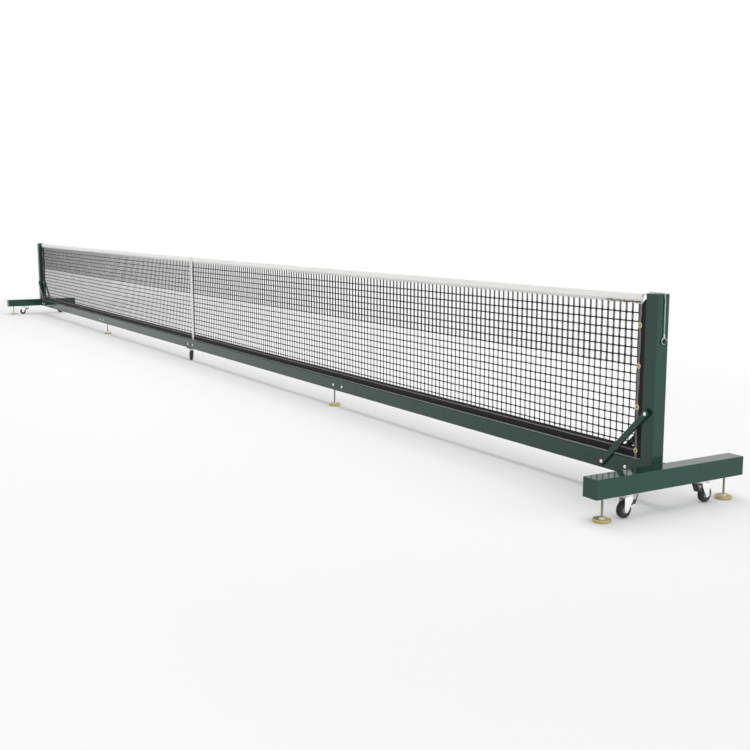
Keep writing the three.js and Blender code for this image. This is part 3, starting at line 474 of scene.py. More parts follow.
def mottled(name, scale, detail, first, second, dull=None, relief=None, **finish):
    """A material whose colour wanders between two, in blotches about one metre over the scale
    across. The same blotches can carry its roughness over the range dull, and raise its surface by
    relief, a strength and a depth. finish holds the shader's other values."""
    made, add, place = new_material(name)
    blotch = add("TexNoise", Vector=place, Scale=scale, Detail=detail)
    colour = add("Mix", RGBA, blotch, first, second)
    if dull:
        finish["Roughness"] = add("MapRange", Value=blotch, To_Min=dull[0], To_Max=dull[1])
    if relief:
        finish["Normal"] = add("Bump", Strength=relief[0], Distance=relief[1], Height=blotch)
    skin = add("BsdfPrincipled", Base_Color=colour, **finish)
    add("OutputMaterial", Surface=skin)
    return made


# Plating bloom is about 4 mm across, and dulls the shine in patches.
bright = {"dull": (0.28, 0.42), "Metallic": 0.6}
bright_zinc = mottled("bright_zinc_plated_steel", 250.0, 2.0, "#e2e4e5", "#f6f6f5", **bright)
HEXAGON = arc(0, 0, 1, 30, 330, 6)
HEAD_RISE = 5.5  # millimetres, as all of the bolt's own sizes are
for name in sorted(n for n in frame["nodes"] if "bolt" in n):
    low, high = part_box(name)
    x, z = (low.x + high.x) / 2, (low.z + high.z) / 2
    seat, tip = low.y * 1000 + HEAD_RISE, high.y * 1000
    grip = -seat
    head = arc(0, 0, 1, 90, 0, 7) * (10, -HEAD_RISE) + (0, seat)
    thread = [(5 - 0.5 * (k % 2), grip + 12.5 + 0.34 * k) for k in range(9)]
    shank = [*head, (9.5, seat), (5, seat), (5, grip), (10.8, grip), (11, grip + 0.3)]
    shank += [(11, grip + 1.6), (10.8, grip + 2), (5, grip + 2), *thread, (3.5, tip), (0, tip)]
    nut = bar(HEXAGON * 0.0098, 0.0082, "y", (x, grip / 1000 + 0.0018, z), 0.0011)
    bolt = [spun(shank, 24, "y", (x, 0, z)), nut]
    piece(f"{name}_set", bolt, bright_zinc, "bright_zinc", [name], crease=50)


# ---- Swivel casters ----
# Pressed-steel forks, bright zinc plated: each is one 3 mm blank bent over its crown, with an eye at
# each foot for the axle and an ear for the brake's pin. It turns between two pressed ball races on a
# riveted kingpin, under a plate bolted to the beam.

joints = {j["name"]: j for j in frame["record"]["behaviour"]["joints"]}
CASTERS = ("right_front", "right_rear", "left_front", "left_rear", "centre")
TRAIL = 0.03
AXLE_Z = joints["roll_centre"]["pos_m"][2]
CROWN_MID = 0.1065
LEG_MID = 0.0205
EYE = 0.015
EAR_Y, EAR_Z, EAR = 0.008, 0.092, 0.008
SLANT_LOW, SLANT_HIGH = AXLE_Z - 0.00584, 0.0889


def stand(surface, name):
    """A caster's surface, drawn about its kingpin, turned by the caster's angle and set in place."""
    points, faces = surface
    x, y, _ = joints[f"swivel_{name}"]["pos_m"]
    cos, sin, _ = joints[f"roll_{name}"]["axis"]
    return points @ np.array([[cos, sin, 0], [-sin, cos, 0], [0, 0, 1]]) + (x, y, 0), faces


def sideways(path):
    """Unit normals of a line in a plane: its direction, turned a quarter to the left."""
    return directions(path)[:, ::-1] * (-1, 1)


def bent_blank(thickness=0.0032, bend=0.0055):
    """A sheet blank bent into a fork. Its middle line climbs one leg, turns over the crown and goes
    down the other; across it, the blank reaches from its rear edge to its front one, each given by
    height: a half circle round the axle, a slant to the ear, and straight above."""
    foot_z = AXLE_Z - EYE * np.cos(np.linspace(0, math.pi / 2, 9))
    leg_z = [*foot_z, *np.linspace(AXLE_Z, SLANT_HIGH, 8)[1:], 0.0905, 0.092, CROWN_MID - bend]
    leg = np.stack([np.full(len(leg_z), -LEG_MID), leg_z], -1)
    corner = arc(bend - LEG_MID, CROWN_MID - bend, bend, 180, 90, 6)[1:]
    path = np.concatenate([leg, corner])
    path = np.concatenate([path, path[::-1] * (-1, 1)])
    x, z = path.T
    normal = sideways(path)
    drop = np.sqrt(np.maximum(EYE**2 - np.minimum(z - AXLE_Z, 0) ** 2, 0))
    rear = -TRAIL - drop
    slant = np.interp(z, [SLANT_LOW, SLANT_HIGH], [-TRAIL + 0.01382, EAR_Y + 0.00737])
    ear = EAR_Y + np.sqrt(np.maximum(EAR**2 - np.minimum(z - EAR_Z, 0) ** 2, 0))
    front = np.where(z < SLANT_LOW, -TRAIL + drop, np.where(z < SLANT_HIGH, slant, ear))
    half = np.minimum(thickness / 2, (front - rear) / 2)[:, None]
    turn = np.linspace(-math.pi / 2, math.pi / 2, 5)
    lap = half * (1 - np.cos(turn))
    rise = thickness / 2 * np.concatenate([np.sin(turn), -np.sin(turn)])
    points = np.empty((len(z), 10, 3))
    points[..., 0] = x[:, None] + normal[:, :1] * rise
    points[..., 1] = np.concatenate([front[:, None] - lap, rear[:, None] + lap], 1)
    points[..., 2] = z[:, None] + normal[:, 1:] * rise
    return points, grid(len(z), 10)


# Profiles are (radius, height) in millimetres.
lower_race = [(0, 108), (23.4, 108), (24.8, 108.6), (25.9, 109.8), (26, 112.2), (25.3, 113.8)]
lower_race += [(23.6, 114.8), (21.8, 115.1), (21.4, 116.2), (0, 116.4)]
upper_race = [(0, 116.9), (20.8, 116.9), (21.6, 116.6), (24.4, 117), (25.7, 118.2), (26, 120)]
upper_race += [(25.2, 122), (23.2, 123.2), (20.6, 123.7), (0, 123.7)]
rivet = [(0, 97.8), (3.5, 98.1), (6.6, 99.4), (8.3, 101.6), (8.6, 103.4), (8.6, 105), (0, 105)]
brake_pin = [(0, -24), (3.4, -23.8), (4.4, -23), (4.4, -22), (3, -21.8)]
brake_pin += [(radius, -height) for radius, height in brake_pin[::-1]]
axle = [(0, -27.6), (4, -27.4), (5, -26.6), (5, 27.6), (4.4, 28.3), (0, 28.3)]
axle_nut, AXLE_NUTS = HEXAGON * 0.0085, (-0.0271, 0.0223)
PLATE_Z = 0.1236
for name in CASTERS:
    fork = [
        bent_blank(),
        spun(lower_race, 32, "z", (0, 0, 0)),
        spun(rivet, 20, "z", (0, 0, 0)),
        spun(axle, 16, "x", (0, -TRAIL, AXLE_Z)),
        *(bar(axle_nut, 0.0048, "x", (x, -TRAIL, AXLE_Z), 0.0009) for x in AXLE_NUTS),
        spun(brake_pin, 12, "x", (0, EAR_Y, EAR_Z)),
    ]
    fork = [stand(s, name) for s in fork]
    nodes, ride = [f"fork_{name}"], f"caster_fork_{name}"
    piece(f"fork_pressing_{name}", fork, bright_zinc, "bright_zinc", nodes, ride, crease=40)
    across, deep = (0.09, 0.07) if name == "centre" else (0.07, 0.09)
    x, y, _ = joints[f"swivel_{name}"]["pos_m"]
    fixed = [spun(upper_race, 32, "z", (x, y, 0))]
    fixed.append(bar(rounded(across, deep, 0.008), 0.003, "z", (x, y, PLATE_Z), 0.0006))
    for a, b in ((1, 1), (1, -1), (-1, 1), (-1, -1)):
        at = (x + a * (across / 2 - 0.0095), y + b * (deep / 2 - 0.0095), 0.1191)
        fixed.append(bar(HEXAGON * 0.0062, 0.0046, "z", at, 0.0007))
    piece(f"caster_plate_{name}", fixed, bright_zinc, "bright_zinc", crease=40)
    if name == "centre":
        # A spacer block fills the height between this plate and the rail.
        block = rounded(0.09, 0.07, 0.006)
        gap = RAIL_MID - RAIL_HEIGHT / 2 - 0.1265
        steelwork("caster_spacer_centre", [bar(block, gap, "z", (x, y, 0.1266), 0.0008)])


# ---- Caster wheels ----
# A solid black rubber tyre moulded on a small grey polypropylene centre. The rubber is dull, and
# scuffed to a brown grey where it runs; its side walls reach in to the centre, past a raised ring.

# Scuffs are 3 to 10 mm across, and roughen the rubber as well as brown it.
scuffed = {"relief": (0.25, 0.0003), "Roughness": 0.72}
rubber = mottled("black_rubber_tyre", 180.0, 4.0, "#101011", "#232221", **scuffed)


def wheel_profile(half):
    """A ring's closed profile: one half of it, the same mirrored over its middle, and the start."""
    return [*half, *((radius, -height) for radius, height in half[::-1]), half[0]]


# Moulding leaves a faint bloom, about 11 mm across.
grey_plastic = mottled("grey_polypropylene", 90.0, 2.0, "#6c6e6e", "#818382", Roughness=0.42)
tyre = [(19.6, -12), (24.6, -12.2), (26.6, -13.2), (28.4, -15), (30, -15.8), (31.5, -16)]
tyre += [(36, -16), (38.2, -15.5), (39.7, -14.2), (40.6, -12), (41, -8), (41, -0.1)]
centre = [(5.5, -18), (12.6, -18), (13.2, -17.5), (14.2, -12.8), (15.4, -12.1), (19, -12.1)]
centre += [(19.6, -11.6), (19.6, -0.1)]
for name in CASTERS:
    at, ride = (0, -TRAIL, AXLE_Z), f"caster_wheel_{name}"
    tread = stand(spun(wheel_profile(tyre), 40, "x", at), name)
    piece(f"tyre_{name}", [tread], rubber, "black_rubber", [f"wheel_{name}"], ride)
    disc = stand(spun(wheel_profile(centre), 32, "x", at), name)
    piece(f"wheel_centre_{name}", [disc], grey_plastic, "black_rubber", (), ride)


# ---- Brake pedals ----
# A lever pinned in the fork's ears, its toe hanging by the tread, with a zinc-plated steel plate
# riveted over the side that the shoe treads on. The lever is drawn black all through as painted
# shade, for the shaded underside of a zinc pedal whose top shows as the plate.

# Painted shade, one black all through; pits about every 1.5 mm make its sheen uneven.
pitted = {"dull": (0.45, 0.6), "relief": (0.2, 0.0002)}
pedal_shade_black = mottled("black_glass_filled_nylon", 700.0, 2.0, "#1b1b1c", "#1b1b1c", **pitted)


def prism(outline, thickness, axis, at):
    """A flat plate of any outline: the outline at each face, joined round the edge."""
    points, edge = stacked([outline, outline], [0, thickness], axis, at)
    around = np.arange(len(outline))
    return points, [edge, np.stack([around[::-1], around + len(outline)])]


# Outlines are (forward, up) from the pin, in millimetres.
lever = [(2.4, -32), (9, -33), (11, -16), (24, -30), (29, -28), (53, 18), (47, 21), (28, -9), (8, 6)]
lever += [(2, 7.5), (-6, 4), (-6.5, -3), (-3, -12)]
plate = [(50.6, 20.6), (47, 22.2), (45.9, 21.4), (27.9, -7.4), (13, 3.8), (12.2, 2.7), (28.2, -9.2)]
plate += [(47.3, 20.9), (50.2, 19.4)]
lever, plate = (np.array(outline) / 1000 + (EAR_Y, EAR_Z) for outline in (lever, plate))
for name in CASTERS:
    ride = f"caster_brake_{name}"
    # The lever's black body is painted shade.
    body = [stand(prism(lever, 0.035, "x", (-0.0175, 0, 0)), name)]
    pedal = [f"brake_pedal_{name}"]
    piece(f"brake_lever_{name}", body, pedal_shade_black, "black_plastic", pedal, ride, bevel=0.001)
    shoe = [stand(prism(plate, 0.033, "x", (-0.0165, 0, 0)), name)]
    tread = f"brake_tread_plate_{name}"
    piece(tread, shoe, bright_zinc, "bright_zinc", (), ride, bevel=0.0003)


# ---- Levelling feet ----
# A pressed pad in yellow-passivated zinc, with a rolled rim round a dull dished floor, a bright
# swivel nut at its middle and an M12 screwed rod that winds up into the frame.

# Passivation runs from gold to olive over 10 to 20 mm; the unpassivated zinc is greyer and duller.
shine = {"Metallic": 0.85, "Roughness": 0.4}
yellow_zinc = mottled("yellow_passivated_zinc", 70.0, 3.0, "#a59857", "#cbbc7a", **shine)
shine["Roughness"] = 0.45
dull_zinc = mottled("dull_zinc_plated_steel", 120.0, 3.0, "#96907f", "#b9b39f", **shine)

FEET = ("right_front", "right_rear", "left_front", "left_rear", "right_middle", "left_middle")
PITCH, THREAD, ROOT, ROD_FOOT = 1.75, 6, 5.25, 20
rim = [(0, 0.4), (38, 0.4), (39.5, 0.1), (41.2, 0.3), (43.6, 1.8), (44.8, 4), (45, 6), (45, 14.8)]
rim += [(44.6, 16.4), (43.6, 17), (42.4, 16.7), (41.2, 15.4), (39, 12.9), (38.2, 12.3), (37.4, 12.1)]
rim += [(37.2, 11.2), (0, 7)]
dish = [(0, 7.2), (37, 11.4), (38.6, 12.9), (37.4, 12.6), (30, 10.6), (22, 9), (17, 8.4), (14, 8.6)]
dish += [(0, 8.6)]
for name in FEET:
    low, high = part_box(f"foot_{name}")
    x, y, top = (low.x + high.x) / 2, (low.y + high.y) / 2, high.z * 1000
    body = f"foot_{name}"
    pad = spun(rim, 48, "z", (x, y, 0))
    piece(f"foot_pad_{name}", [pad], yellow_zinc, "yellow_zinc", [f"foot_{name}"], body, crease=50)
    well = spun(dish, 48, "z", (x, y, 0))
    piece(f"foot_dish_{name}", [well], dull_zinc, "yellow_zinc", (), body, crease=50)
    nut = bar(HEXAGON * 0.0125, 0.0135, "z", (x, y, 0.0085), 0.0012)
    piece(f"foot_nut_{name}", [nut], bright_zinc, "bright_zinc", (), body, crease=40)
    turns = np.arange(ROD_FOOT + 2, top - 3, PITCH / 2)
    thread = [((THREAD, ROOT)[k % 2], z) for k, z in enumerate(turns)]
    rod = [(0, ROD_FOOT), (5.2, ROD_FOOT), *thread, (5.2, top - 1.6), (4.2, top), (0, top)]
    screw = spun(rod, 16, "z", (x, y, 0))
    piece(f"foot_screw_{name}", [screw], dull_zinc, "bright_zinc", (), body, crease=70)


# ---- Twine net ----
# Braided black polyethylene twine, 5 to 7.8 mm thick, hand-knotted into 45 mm squares, with the
# top seven rows doubled. It hangs from the headband's hem and its edges are sewn into the tapes.

net_low, net_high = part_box("net_mesh")
band_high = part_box("headband")[1]
BAND_X = band_high.x
MESH_TOP, ROWS, DOUBLED = 0.9814, 16, 7
ROW_PITCH, COLUMN_PITCH = 0.04524, 0.0451
TWINE, DOUBLED_TWINE = 0.0030, 0.0025
LEVEL_TWINE, DOUBLED_LEVEL_TWINE = 0.0033, 0.0039
SPREAD = (0.0022, 0.0013, 0)  # half the step between the two strings of a doubled cord
TUCK = 0.006  # how far the twine runs on into the band and the tapes


def dip(x):
    """How far the head cord sags at x: 12 mm at the centre strap, nothing at its ends."""
    return 0.012 * (1 - np.minimum(np.abs(x) / BAND_X, 1))


def hung(points):
    """Lowers net points by the dip, from none at the net's foot to all of it at its head."""
    share = np.clip((points[..., 2] - net_low.z) / (net_high.z - net_low.z), 0, 1)
    points[..., 2] -= dip(points[..., 0]) * share
    return points


def strings(lines, radius, upright, sides=5):
    """Many cords with as many points each: a circle set round every point, level for upright cords
    and across the net for level ones, closed to a point at both ends. The radius is one for all, or
    one for each cord."""
    turn = np.arange(sides) / sides * 2 * math.pi + 0.3
    across, other, zero = np.cos(turn), np.sin(turn), np.zeros(sides)
    circle = np.stack([across, other, zero] if upright else [zero, across, other], -1)
    count, length = lines.shape[:2]
    first, last = (np.repeat(lines[:, i, None, None], sides, 2) for i in (0, -1))
    points = np.concatenate([first, lines[:, :, None] + circle * radius, last], 1)
    starts = np.arange(count) * (length + 2) * sides
    return points, (grid(length + 2, sides) + starts[:, None, None]).reshape(-1, 4)


# Plaits repeat about every 4 mm along the twine, as darker and paler blacks.
twine = ("black_braided_polyethylene_twine", 260.0, 1.0, "#0d0d0e", "#1d1d1e")
braided_twine = mottled(*twine, Roughness=0.75)

rng = np.random.default_rng(11)
half_columns = int((net_high.x - 0.015) / COLUMN_PITCH)
column_x = np.arange(-half_columns, half_columns + 1) * COLUMN_PITCH
row_z = MESH_TOP - np.arange(ROWS) * ROW_PITCH
# Knots sit half a millimetre or so off a true square.
knots = np.stack(np.broadcast_arrays(column_x[:, None], np.zeros(1), row_z[None]), -1).copy()
knots += rng.normal(0, 1, knots.shape) * (0.0004, 0.0003, 0.0004)
top, foot = (
    np.stack([column_x, 0 * column_x, 0 * column_x + z], -1)[:, None]
    for z in (net_high.z + TUCK, net_low.z - TUCK)
)
upright_lines = np.concatenate([top, knots, foot], 1)
left, right = knots[:1].copy(), knots[-1:].copy()
left[..., 0], right[..., 0] = net_low.x - TUCK, net_high.x + TUCK
level_lines = np.concatenate([left, knots, right]).transpose(1, 0, 2)


def midway(lines, sag):
    """Adds a point halfway along each stretch between knots, let down or aside by the sag."""
    out = np.empty((lines.shape[0], 2 * lines.shape[1] - 1, 3))
    out[:, ::2], out[:, 1::2] = lines, (lines[:, 1:] + lines[:, :-1]) / 2 + sag
    return out


single = strings(hung(midway(upright_lines[:, DOUBLED:], (0, 0, 0))), TWINE, True)
piece("net_upright_twine", [single], braided_twine, "net_twine", ["net_mesh"])
for tag, side in (("first", -1), ("second", 1)):
    upper = upright_lines[:, : DOUBLED + 1] + side * np.array(SPREAD)
    upper = strings(hung(midway(upper, (side * 0.0006, 0, 0))), DOUBLED_TWINE, True)
    piece(f"net_doubled_upright_twine_{tag}", [upper], braided_twine, "net_twine")
radii = np.where(np.arange(ROWS) < DOUBLED, DOUBLED_LEVEL_TWINE, LEVEL_TWINE)[:, None, None, None]
level = strings(hung(midway(level_lines, (0, 0, -0.0008))), radii, False)
piece("net_level_twine", [level], braided_twine, "net_twine")

# A knot is a small barrel, a little longer across than it is deep, and bulkier where doubled.
ball, ball_faces = spun([(0, -1), (0.8, -0.55), (0.8, 0.55), (0, 1)], 5, "z", (0, 0, 0))
doubled, plain = (9.6, 6.2, 8.8), (8.8, 5.8, 8.2)
for tag, rows, size in (("doubled", slice(DOUBLED), doubled), ("single", slice(DOUBLED, ROWS), plain)):
    centres = hung(knots[:, rows].reshape(-1, 3).copy())
    points = centres[:, None, None] + ball * size
    faces = ball_faces + (np.arange(len(centres)) * ball[..., 0].size)[:, None, None]
    piece(f"net_{tag}_knots", [(points, faces.reshape(-1, 4))], braided_twine, "net_twine")


# ---- Headband ----
# White vinyl-coated polyester, folded over the head cord and stitched below it, with a doubled hem
# along its foot. The band is drawn a shade darker along its lowest 17.5 mm.

white_vinyl, add, place = new_material("white_vinyl_coated_polyester")
flat_place = add("UVMap", {"uv_map": "flat"})
from_edge = add("SeparateXYZ", None, flat_place).outputs["Y"]
DARKER_FOOT = 0.0175
# Handling marks drift over 20 to 60 cm; the cloth backing shows as a 1 mm grain.
marks = add("TexNoise", Vector=place, Scale=3.0, Detail=5.0)
face_tone = add("Mix", RGBA, marks, "#e3e3e0", "#ecece9")
# The band's lowest 17.5 mm is drawn a shade darker than the cloth above it.
darker_foot_here = add("Math", {"operation": "LESS_THAN"}, from_edge, DARKER_FOOT)
tone = add("Mix", RGBA, darker_foot_here, face_tone, "#cfcfcd")
wave = add("TexNoise", Vector=place, Scale=1000.0, Detail=1.0)
backing = add("Bump", Strength=0.15, Distance=0.0001, Height=wave)
vinyl = add("BsdfPrincipled", Base_Color=tone, Roughness=0.5, Normal=backing)
add("OutputMaterial", Surface=vinyl)


def distance_along(line):
    """How far along a line each of its points is."""
    return np.append(0, np.cumsum(np.linalg.norm(np.diff(line, axis=0), axis=1)))


def folded(path, thickness, stations, sway):
    """A cloth folded along its length: the path is its middle line across, from one edge to the
    other, and the cloth lies half its thickness either side. Stations are places along X, and sway
    moves each point of each station. After points and faces it gives each point's flat place, which
    is its length along and its distance from the nearer edge, and last the cloth's whole width."""
    reach = distance_along(path)
    aside = sideways(path) * thickness / 2
    loop = np.concatenate([path + aside, (path - aside)[::-1]])
    edge = np.minimum(reach, reach[-1] - reach)
    count, half = len(loop), len(path)
    points = np.empty((len(stations), count, 3))
    points[..., 0], points[..., 1:] = stations[:, None], loop
    uv = np.empty((len(stations), count, 2))
    uv[..., 0], uv[..., 1] = stations[:, None], np.append(edge, edge[::-1])
    i = np.arange(half - 1)
    cap = np.stack([i, i + 1, count - 2 - i, count - 1 - i], -1)
    return sway(points), [grid(len(stations), count), cap, cap + points[1:, :, 0].size], uv, reach[-1]


CORD_Z = band_high.z - 0.0085
BAND_HEIGHT = 0.054
BAND_BOTTOM = band_high.z - BAND_HEIGHT
CORD_FOLD, CLOTH = 0.0047, 0.0011
turn = np.radians(np.linspace(200, -20, 19))
over_z = CORD_Z + 0.0005 + CORD_FOLD * np.sin(turn) + 0.0023 * np.clip(np.sin(turn), 0, 1) ** 2
over = np.stack([CORD_FOLD * np.cos(turn), np.minimum(over_z, band_high.z - 0.0006)], -1)
# The front, as (forward, up) in millimetres, swells from the hem to the fold over the cord.
front = [(1.3, 0.4), (1.35, 8), (1.35, 15.6), (1.1, 17), (1.2, 20), (1.9, 26), (3.1, 32), (4.3, 39)]
front = np.array(front) / 1000 * (-1, 1) + (0, BAND_BOTTOM)
band_path = np.concatenate([front, over, front[::-1] * (-1, 1)])
phase = rng.uniform(0, 2 * math.pi, 6)


def waves(x, *pairs):
    """Sines along x, one for each length and phase, added up."""
    return sum(np.sin(x * 2 * math.pi / length + phase[number]) for length, number in pairs)


def band_sway(points):
    """Follows the dip, with soft puckers between the hem's stitches and slower ripples above."""
    x, height = points[..., 0], (points[..., 2] - BAND_BOTTOM) / BAND_HEIGHT
    pucker = 0.00035 * waves(x, (0.173, 0), (0.291, 1)) * (1 - height)
    ripple = 0.0004 * waves(x, (0.83, 2), (1.37, 3)) * np.sin(height * math.pi)
    points[..., 1] += (pucker + ripple) * (height < 0.7)
    points[..., 2] -= dip(x)
    return points


*band, width = folded(band_path, CLOTH, np.linspace(-BAND_X, BAND_X, 401), band_sway)
headband = piece("headband_vinyl", [band], white_vinyl, "white_vinyl", ["headband"], crease=50)


# ---- Tapes round the net's other edges ----
# Black woven polypropylene, folded over the net's edge strings and stitched. A grey webbing strip
# carries the stitches: along the top of the bottom tape, and down the inner edge of each side tape.

black_web, add, place = new_material("black_woven_polypropylene")
flat_place = add("UVMap", {"uv_map": "flat"})
outside_strip = add("SeparateXYZ", None, flat_place).outputs["Y"]
# Ribs are 2 mm apart; wear drifts over a hand's breadth.
along_x = {"wave_type": "BANDS", "bands_direction": "X"}
ribs = add("TexWave", along_x, Vector=flat_place, Scale=80.0, Distortion=0.4).outputs["Fac"]
rub = add("TexNoise", Vector=place, Scale=14.0, Detail=4.0)
web_tone = add("Mix", RGBA, rub, "#121010", "#201c1c")
on_strip = add("Math", {"operation": "LESS_THAN"}, outside_strip, 0.0)
strip_tone = add("Mix", RGBA, ribs, "#5c5a59", "#8c8986")
tone = add("Mix", RGBA, on_strip, web_tone, strip_tone)
rib_bump = add("Bump", Strength=0.4, Distance=0.0004, Height=ribs)
dry = {"Roughness": 0.7, "Specular_IOR_Level": 0.25}
woven = add("BsdfPrincipled", Base_Color=tone, Normal=rib_bump, **dry)
add("OutputMaterial", Surface=woven)

# The flat place's second number is the distance outside the strip, so the strip is where it is
# below nothing.
STRIP, TAPE = (0.0095, 0.0215), 0.0012  # the strip from the tape's edge, and the tape's thickness
tape_low, tape_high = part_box("bottom_tape")
tape_height = tape_high.z - tape_low.z
u_turn = arc(0, 0.0016, 0.0013, 180, 360, 9)
edges = (STRIP[1] + 0.0003, STRIP[1], STRIP[0], STRIP[0] - 0.0003, 0.0004)
climb = np.array([0.012, 0.025, *(tape_height - edge for edge in edges)])
bulge = np.array([0.0013, 0.0012, 0.0011, 0.0017, 0.0017, 0.0012, 0.0013])
rear = np.stack([bulge, climb], -1)
tape_path = np.concatenate([rear[::-1] * (-1, 1), u_turn, rear]) + (0, tape_low.z)


def tape_sway(points):
    """Slow waves along the free edge, where the twine pulls it."""
    x, height = points[..., 0], (points[..., 2] - tape_low.z) / tape_height
    wave = waves(x, (0.41, 4)) + 0.6 * waves(x, (0.97, 5))
    points[..., 1] += 0.0006 * wave * np.clip(height, 0, 1)
    return points


stations = np.linspace(tape_low.x, tape_high.x, 361)
points, faces, uv, width = folded(tape_path, TAPE, stations, tape_sway)
# The strap's anchor passes under the fold at the middle.
near = (np.abs(points[..., 0]) < 0.027) & (points[..., 2] < tape_low.z + 0.003)
points[..., 2] = np.where(near, np.maximum(points[..., 2], tape_low.z + 0.0031), points[..., 2])
uv[..., 1] = np.abs(uv[..., 1] - sum(STRIP) / 2) - (STRIP[1] - STRIP[0]) / 2
tape = [(points, faces, uv)]
tape = piece("bottom_tape_webbing", tape, black_web, "black_tape", ["bottom_tape"], crease=60)


def side_sway(points):
    """Slow waves down the strip's edge, where the level strings pull it."""
    share = np.clip((ROD_X - 0.02 - points[..., 1]) / 0.04, 0, 1)
    points[..., 1] += 0.0008 * waves(points[..., 0], (0.19, 1)) * share
    return points


for side, sign in SIDES:
    low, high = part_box(f"side_tape_{side}")
    inner_x = low.x if sign > 0 else -high.x
    edge_fold = arc(inner_x + 0.0019, 0, 0.0013, 90, 270, 7)
    sleeve = arc(ROD_X, 0, 0.0073, -164, 164, 25)
    rear = [(0.009, 0.0014), (0.025, 0.0014), (0.0254, 0.0011), (0.045, 0.0011), (0.0615, 0.0012)]
    rear = np.array(rear) + (inner_x, 0)
    side_path = np.concatenate([rear[::-1], edge_fold, rear * (1, -1), sleeve, rear[-1:]])
    heights = np.linspace(low.z + 0.0004, high.z - 0.0004, 61)
    points, faces, uv, width = folded(side_path, CLOTH, heights, side_sway)
    from_edge = points[..., 1] - inner_x
    uv[..., 1] = np.abs(from_edge - 0.0165) - 0.0085
    # Beyond the headband's end the tape climbs beside it.
    beyond = np.clip((from_edge - 0.028) / 0.002, 0, 1)
    points[..., 0] += beyond * 0.024 * (points[..., 0] - low.z) / (high.z - low.z)
    upright = np.roll(points, -1, -1) * (sign, sign, 1)
    name, nodes = f"side_tape_webbing_{side}", [f"side_tape_{side}"]
    tape = piece(name, [(upright, faces, uv)], black_web, "black_tape", nodes, crease=60)

# Brass spur grommets: a rolled ring over a washer with a scalloped edge, on both faces.
# Tarnish dulls the brass in spots of about 3 mm; the twine that fills its hole is in shadow.
worn = {"Metallic": 0.8, "Roughness": 0.35}
brass = mottled("pressed_brass", 300.0, 3.0, "#b4a771", "#d8cd9e", **worn)
hole_black = mottled("shadowed_twine_in_grommet", 260.0, 1.0, "#0d0d0d", "#0d0d0d", Roughness=0.9)


def grommet(x, z, outer, bore, hole, stand_off):
    """A ring and its dark hole on each face of the cloth. The ring is rolled from a disc: a quarter
    round up from the bore, over a crest and out to a scalloped flat brim of eight lobes."""
    share = [(0, 0), (0, 1.1), (0.14, 1.7), (0.32, 1.7), (0.46, 1), (0.55, 0.55), (0.92, 0.5), (1, 0.2)]
    share = np.array([*share, (1, 0)])
    turn = np.arange(40) / 40 * 2 * math.pi
    radius = bore + share[:, :1] * (outer * (1 + 0.08 * np.cos(8 * turn)) - bore)
    for front in (1, -1):
        face_y = front * stand_off
        rise = np.broadcast_to(share[:, 1:] * 0.001 * front, radius.shape) + face_y
        ring = np.stack([x + radius * np.cos(turn), rise, z + radius * np.sin(turn)], -1)
        grommets.append((ring, grid(len(share), 40, True)))
        back, lip = face_y * 1000 - 0.2, face_y * 1000 + front * 0.2
        holes.append(spun([(0, back), (hole, back), (hole, lip), (0, lip)], 20, "y", (x, 0, z)))


grommets, holes = [], []
for sign in (1, -1):
    for z in (0.918, 0.7076, 0.4924, 0.2636):
        stand_off = 0.0021 if z > 0.3 else 0.0024
        grommet(sign * (tape_high.x + 0.0153), z, 0.0148, 0.0052, 5.9, stand_off)
for x in (6.116, 6.208, 6.301):
    grommet(x, BAND_BOTTOM + 0.0085 - dip(x), 0.0108, 0.004, 4.4, 0.0021)
piece("brass_grommets", grommets, brass, "yellow_zinc", crease=50)
piece("grommet_holes", holes, hole_black, "net_twine")


# ---- Corner lacing ----
# A green and a black braided cord, 5 mm thick, tie the headband's hem to the top row of the net at
# the right-hand corner. Each runs along the hem between grommets and ends in a tucked knot.

# Plaits repeat about every 3 mm.
cord = ("green_braided_polypropylene_cord", 330.0, 1.0, "#1f4a28", "#3a6b3f")
green_braid = mottled(*cord, Roughness=0.7)


def smooth_path(points, steps):
    """A curve through the points: on each stretch a cubic that leaves and arrives along the line
    between the neighbours on either side."""
    p = np.asarray(points, float)
    slope = np.gradient(p, axis=0)
    t = np.linspace(0, 1, steps + 1)[:-1, None, None]
    ahead, leaving = 3 * t**2 - 2 * t**3, t**3 - 2 * t**2 + t
    curve = (1 - ahead) * p[:-1] + leaving * slope[:-1] + ahead * p[1:] + (t**3 - t**2) * slope[1:]
    return np.vstack([curve.transpose(1, 0, 2).reshape(-1, 3), p[-1:]])


# Both routes are measured from the hem's grommet line, on the band's front face.
LACE_AT = (0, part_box("corner_lacing")[0].y + 0.003, BAND_BOTTOM + 0.008)
green_run = [(6.0785, 0.001, -0.001), (6.09, 0, 0.001), (6.103, 0, 0.001), (6.118, -0.0004, 0.0005)]
green_run += [(6.14, 0, -0.003), (6.166, 0, 0.001), (6.184, 0, -0.001), (6.194, 0.001, -0.004)]
black_run = [(6.2045, 0.0006, 0.002), (6.214, 0, -0.001), (6.236, 0, -0.003), (6.262, 0, 0.0015)]
black_run += [(6.286, 0, -0.002), (6.301, 0, 0), (6.316, 0, 0.001), (6.3262, 0.001, -0.002)]
green, black = (
    [run(smooth_path(np.array(route) + LACE_AT, 8), 0.0026, 10)] for route in (green_run, black_run)
)
piece("corner_lace_green", green, green_braid, "green_cord", ["corner_lacing"])
piece("corner_lace_black", black, braided_twine, "net_twine")


# ---- Centre strap ----
# White polyester webbing, 50 mm wide and 2 mm thick, passed over the headband and riveted at both
# ends in a nickel-plated steel channel on the rail. It holds the net's middle down.

white_webbing, add, _ = new_material("white_polyester_webbing")
flat_place = add("UVMap", {"uv_map": "flat"})
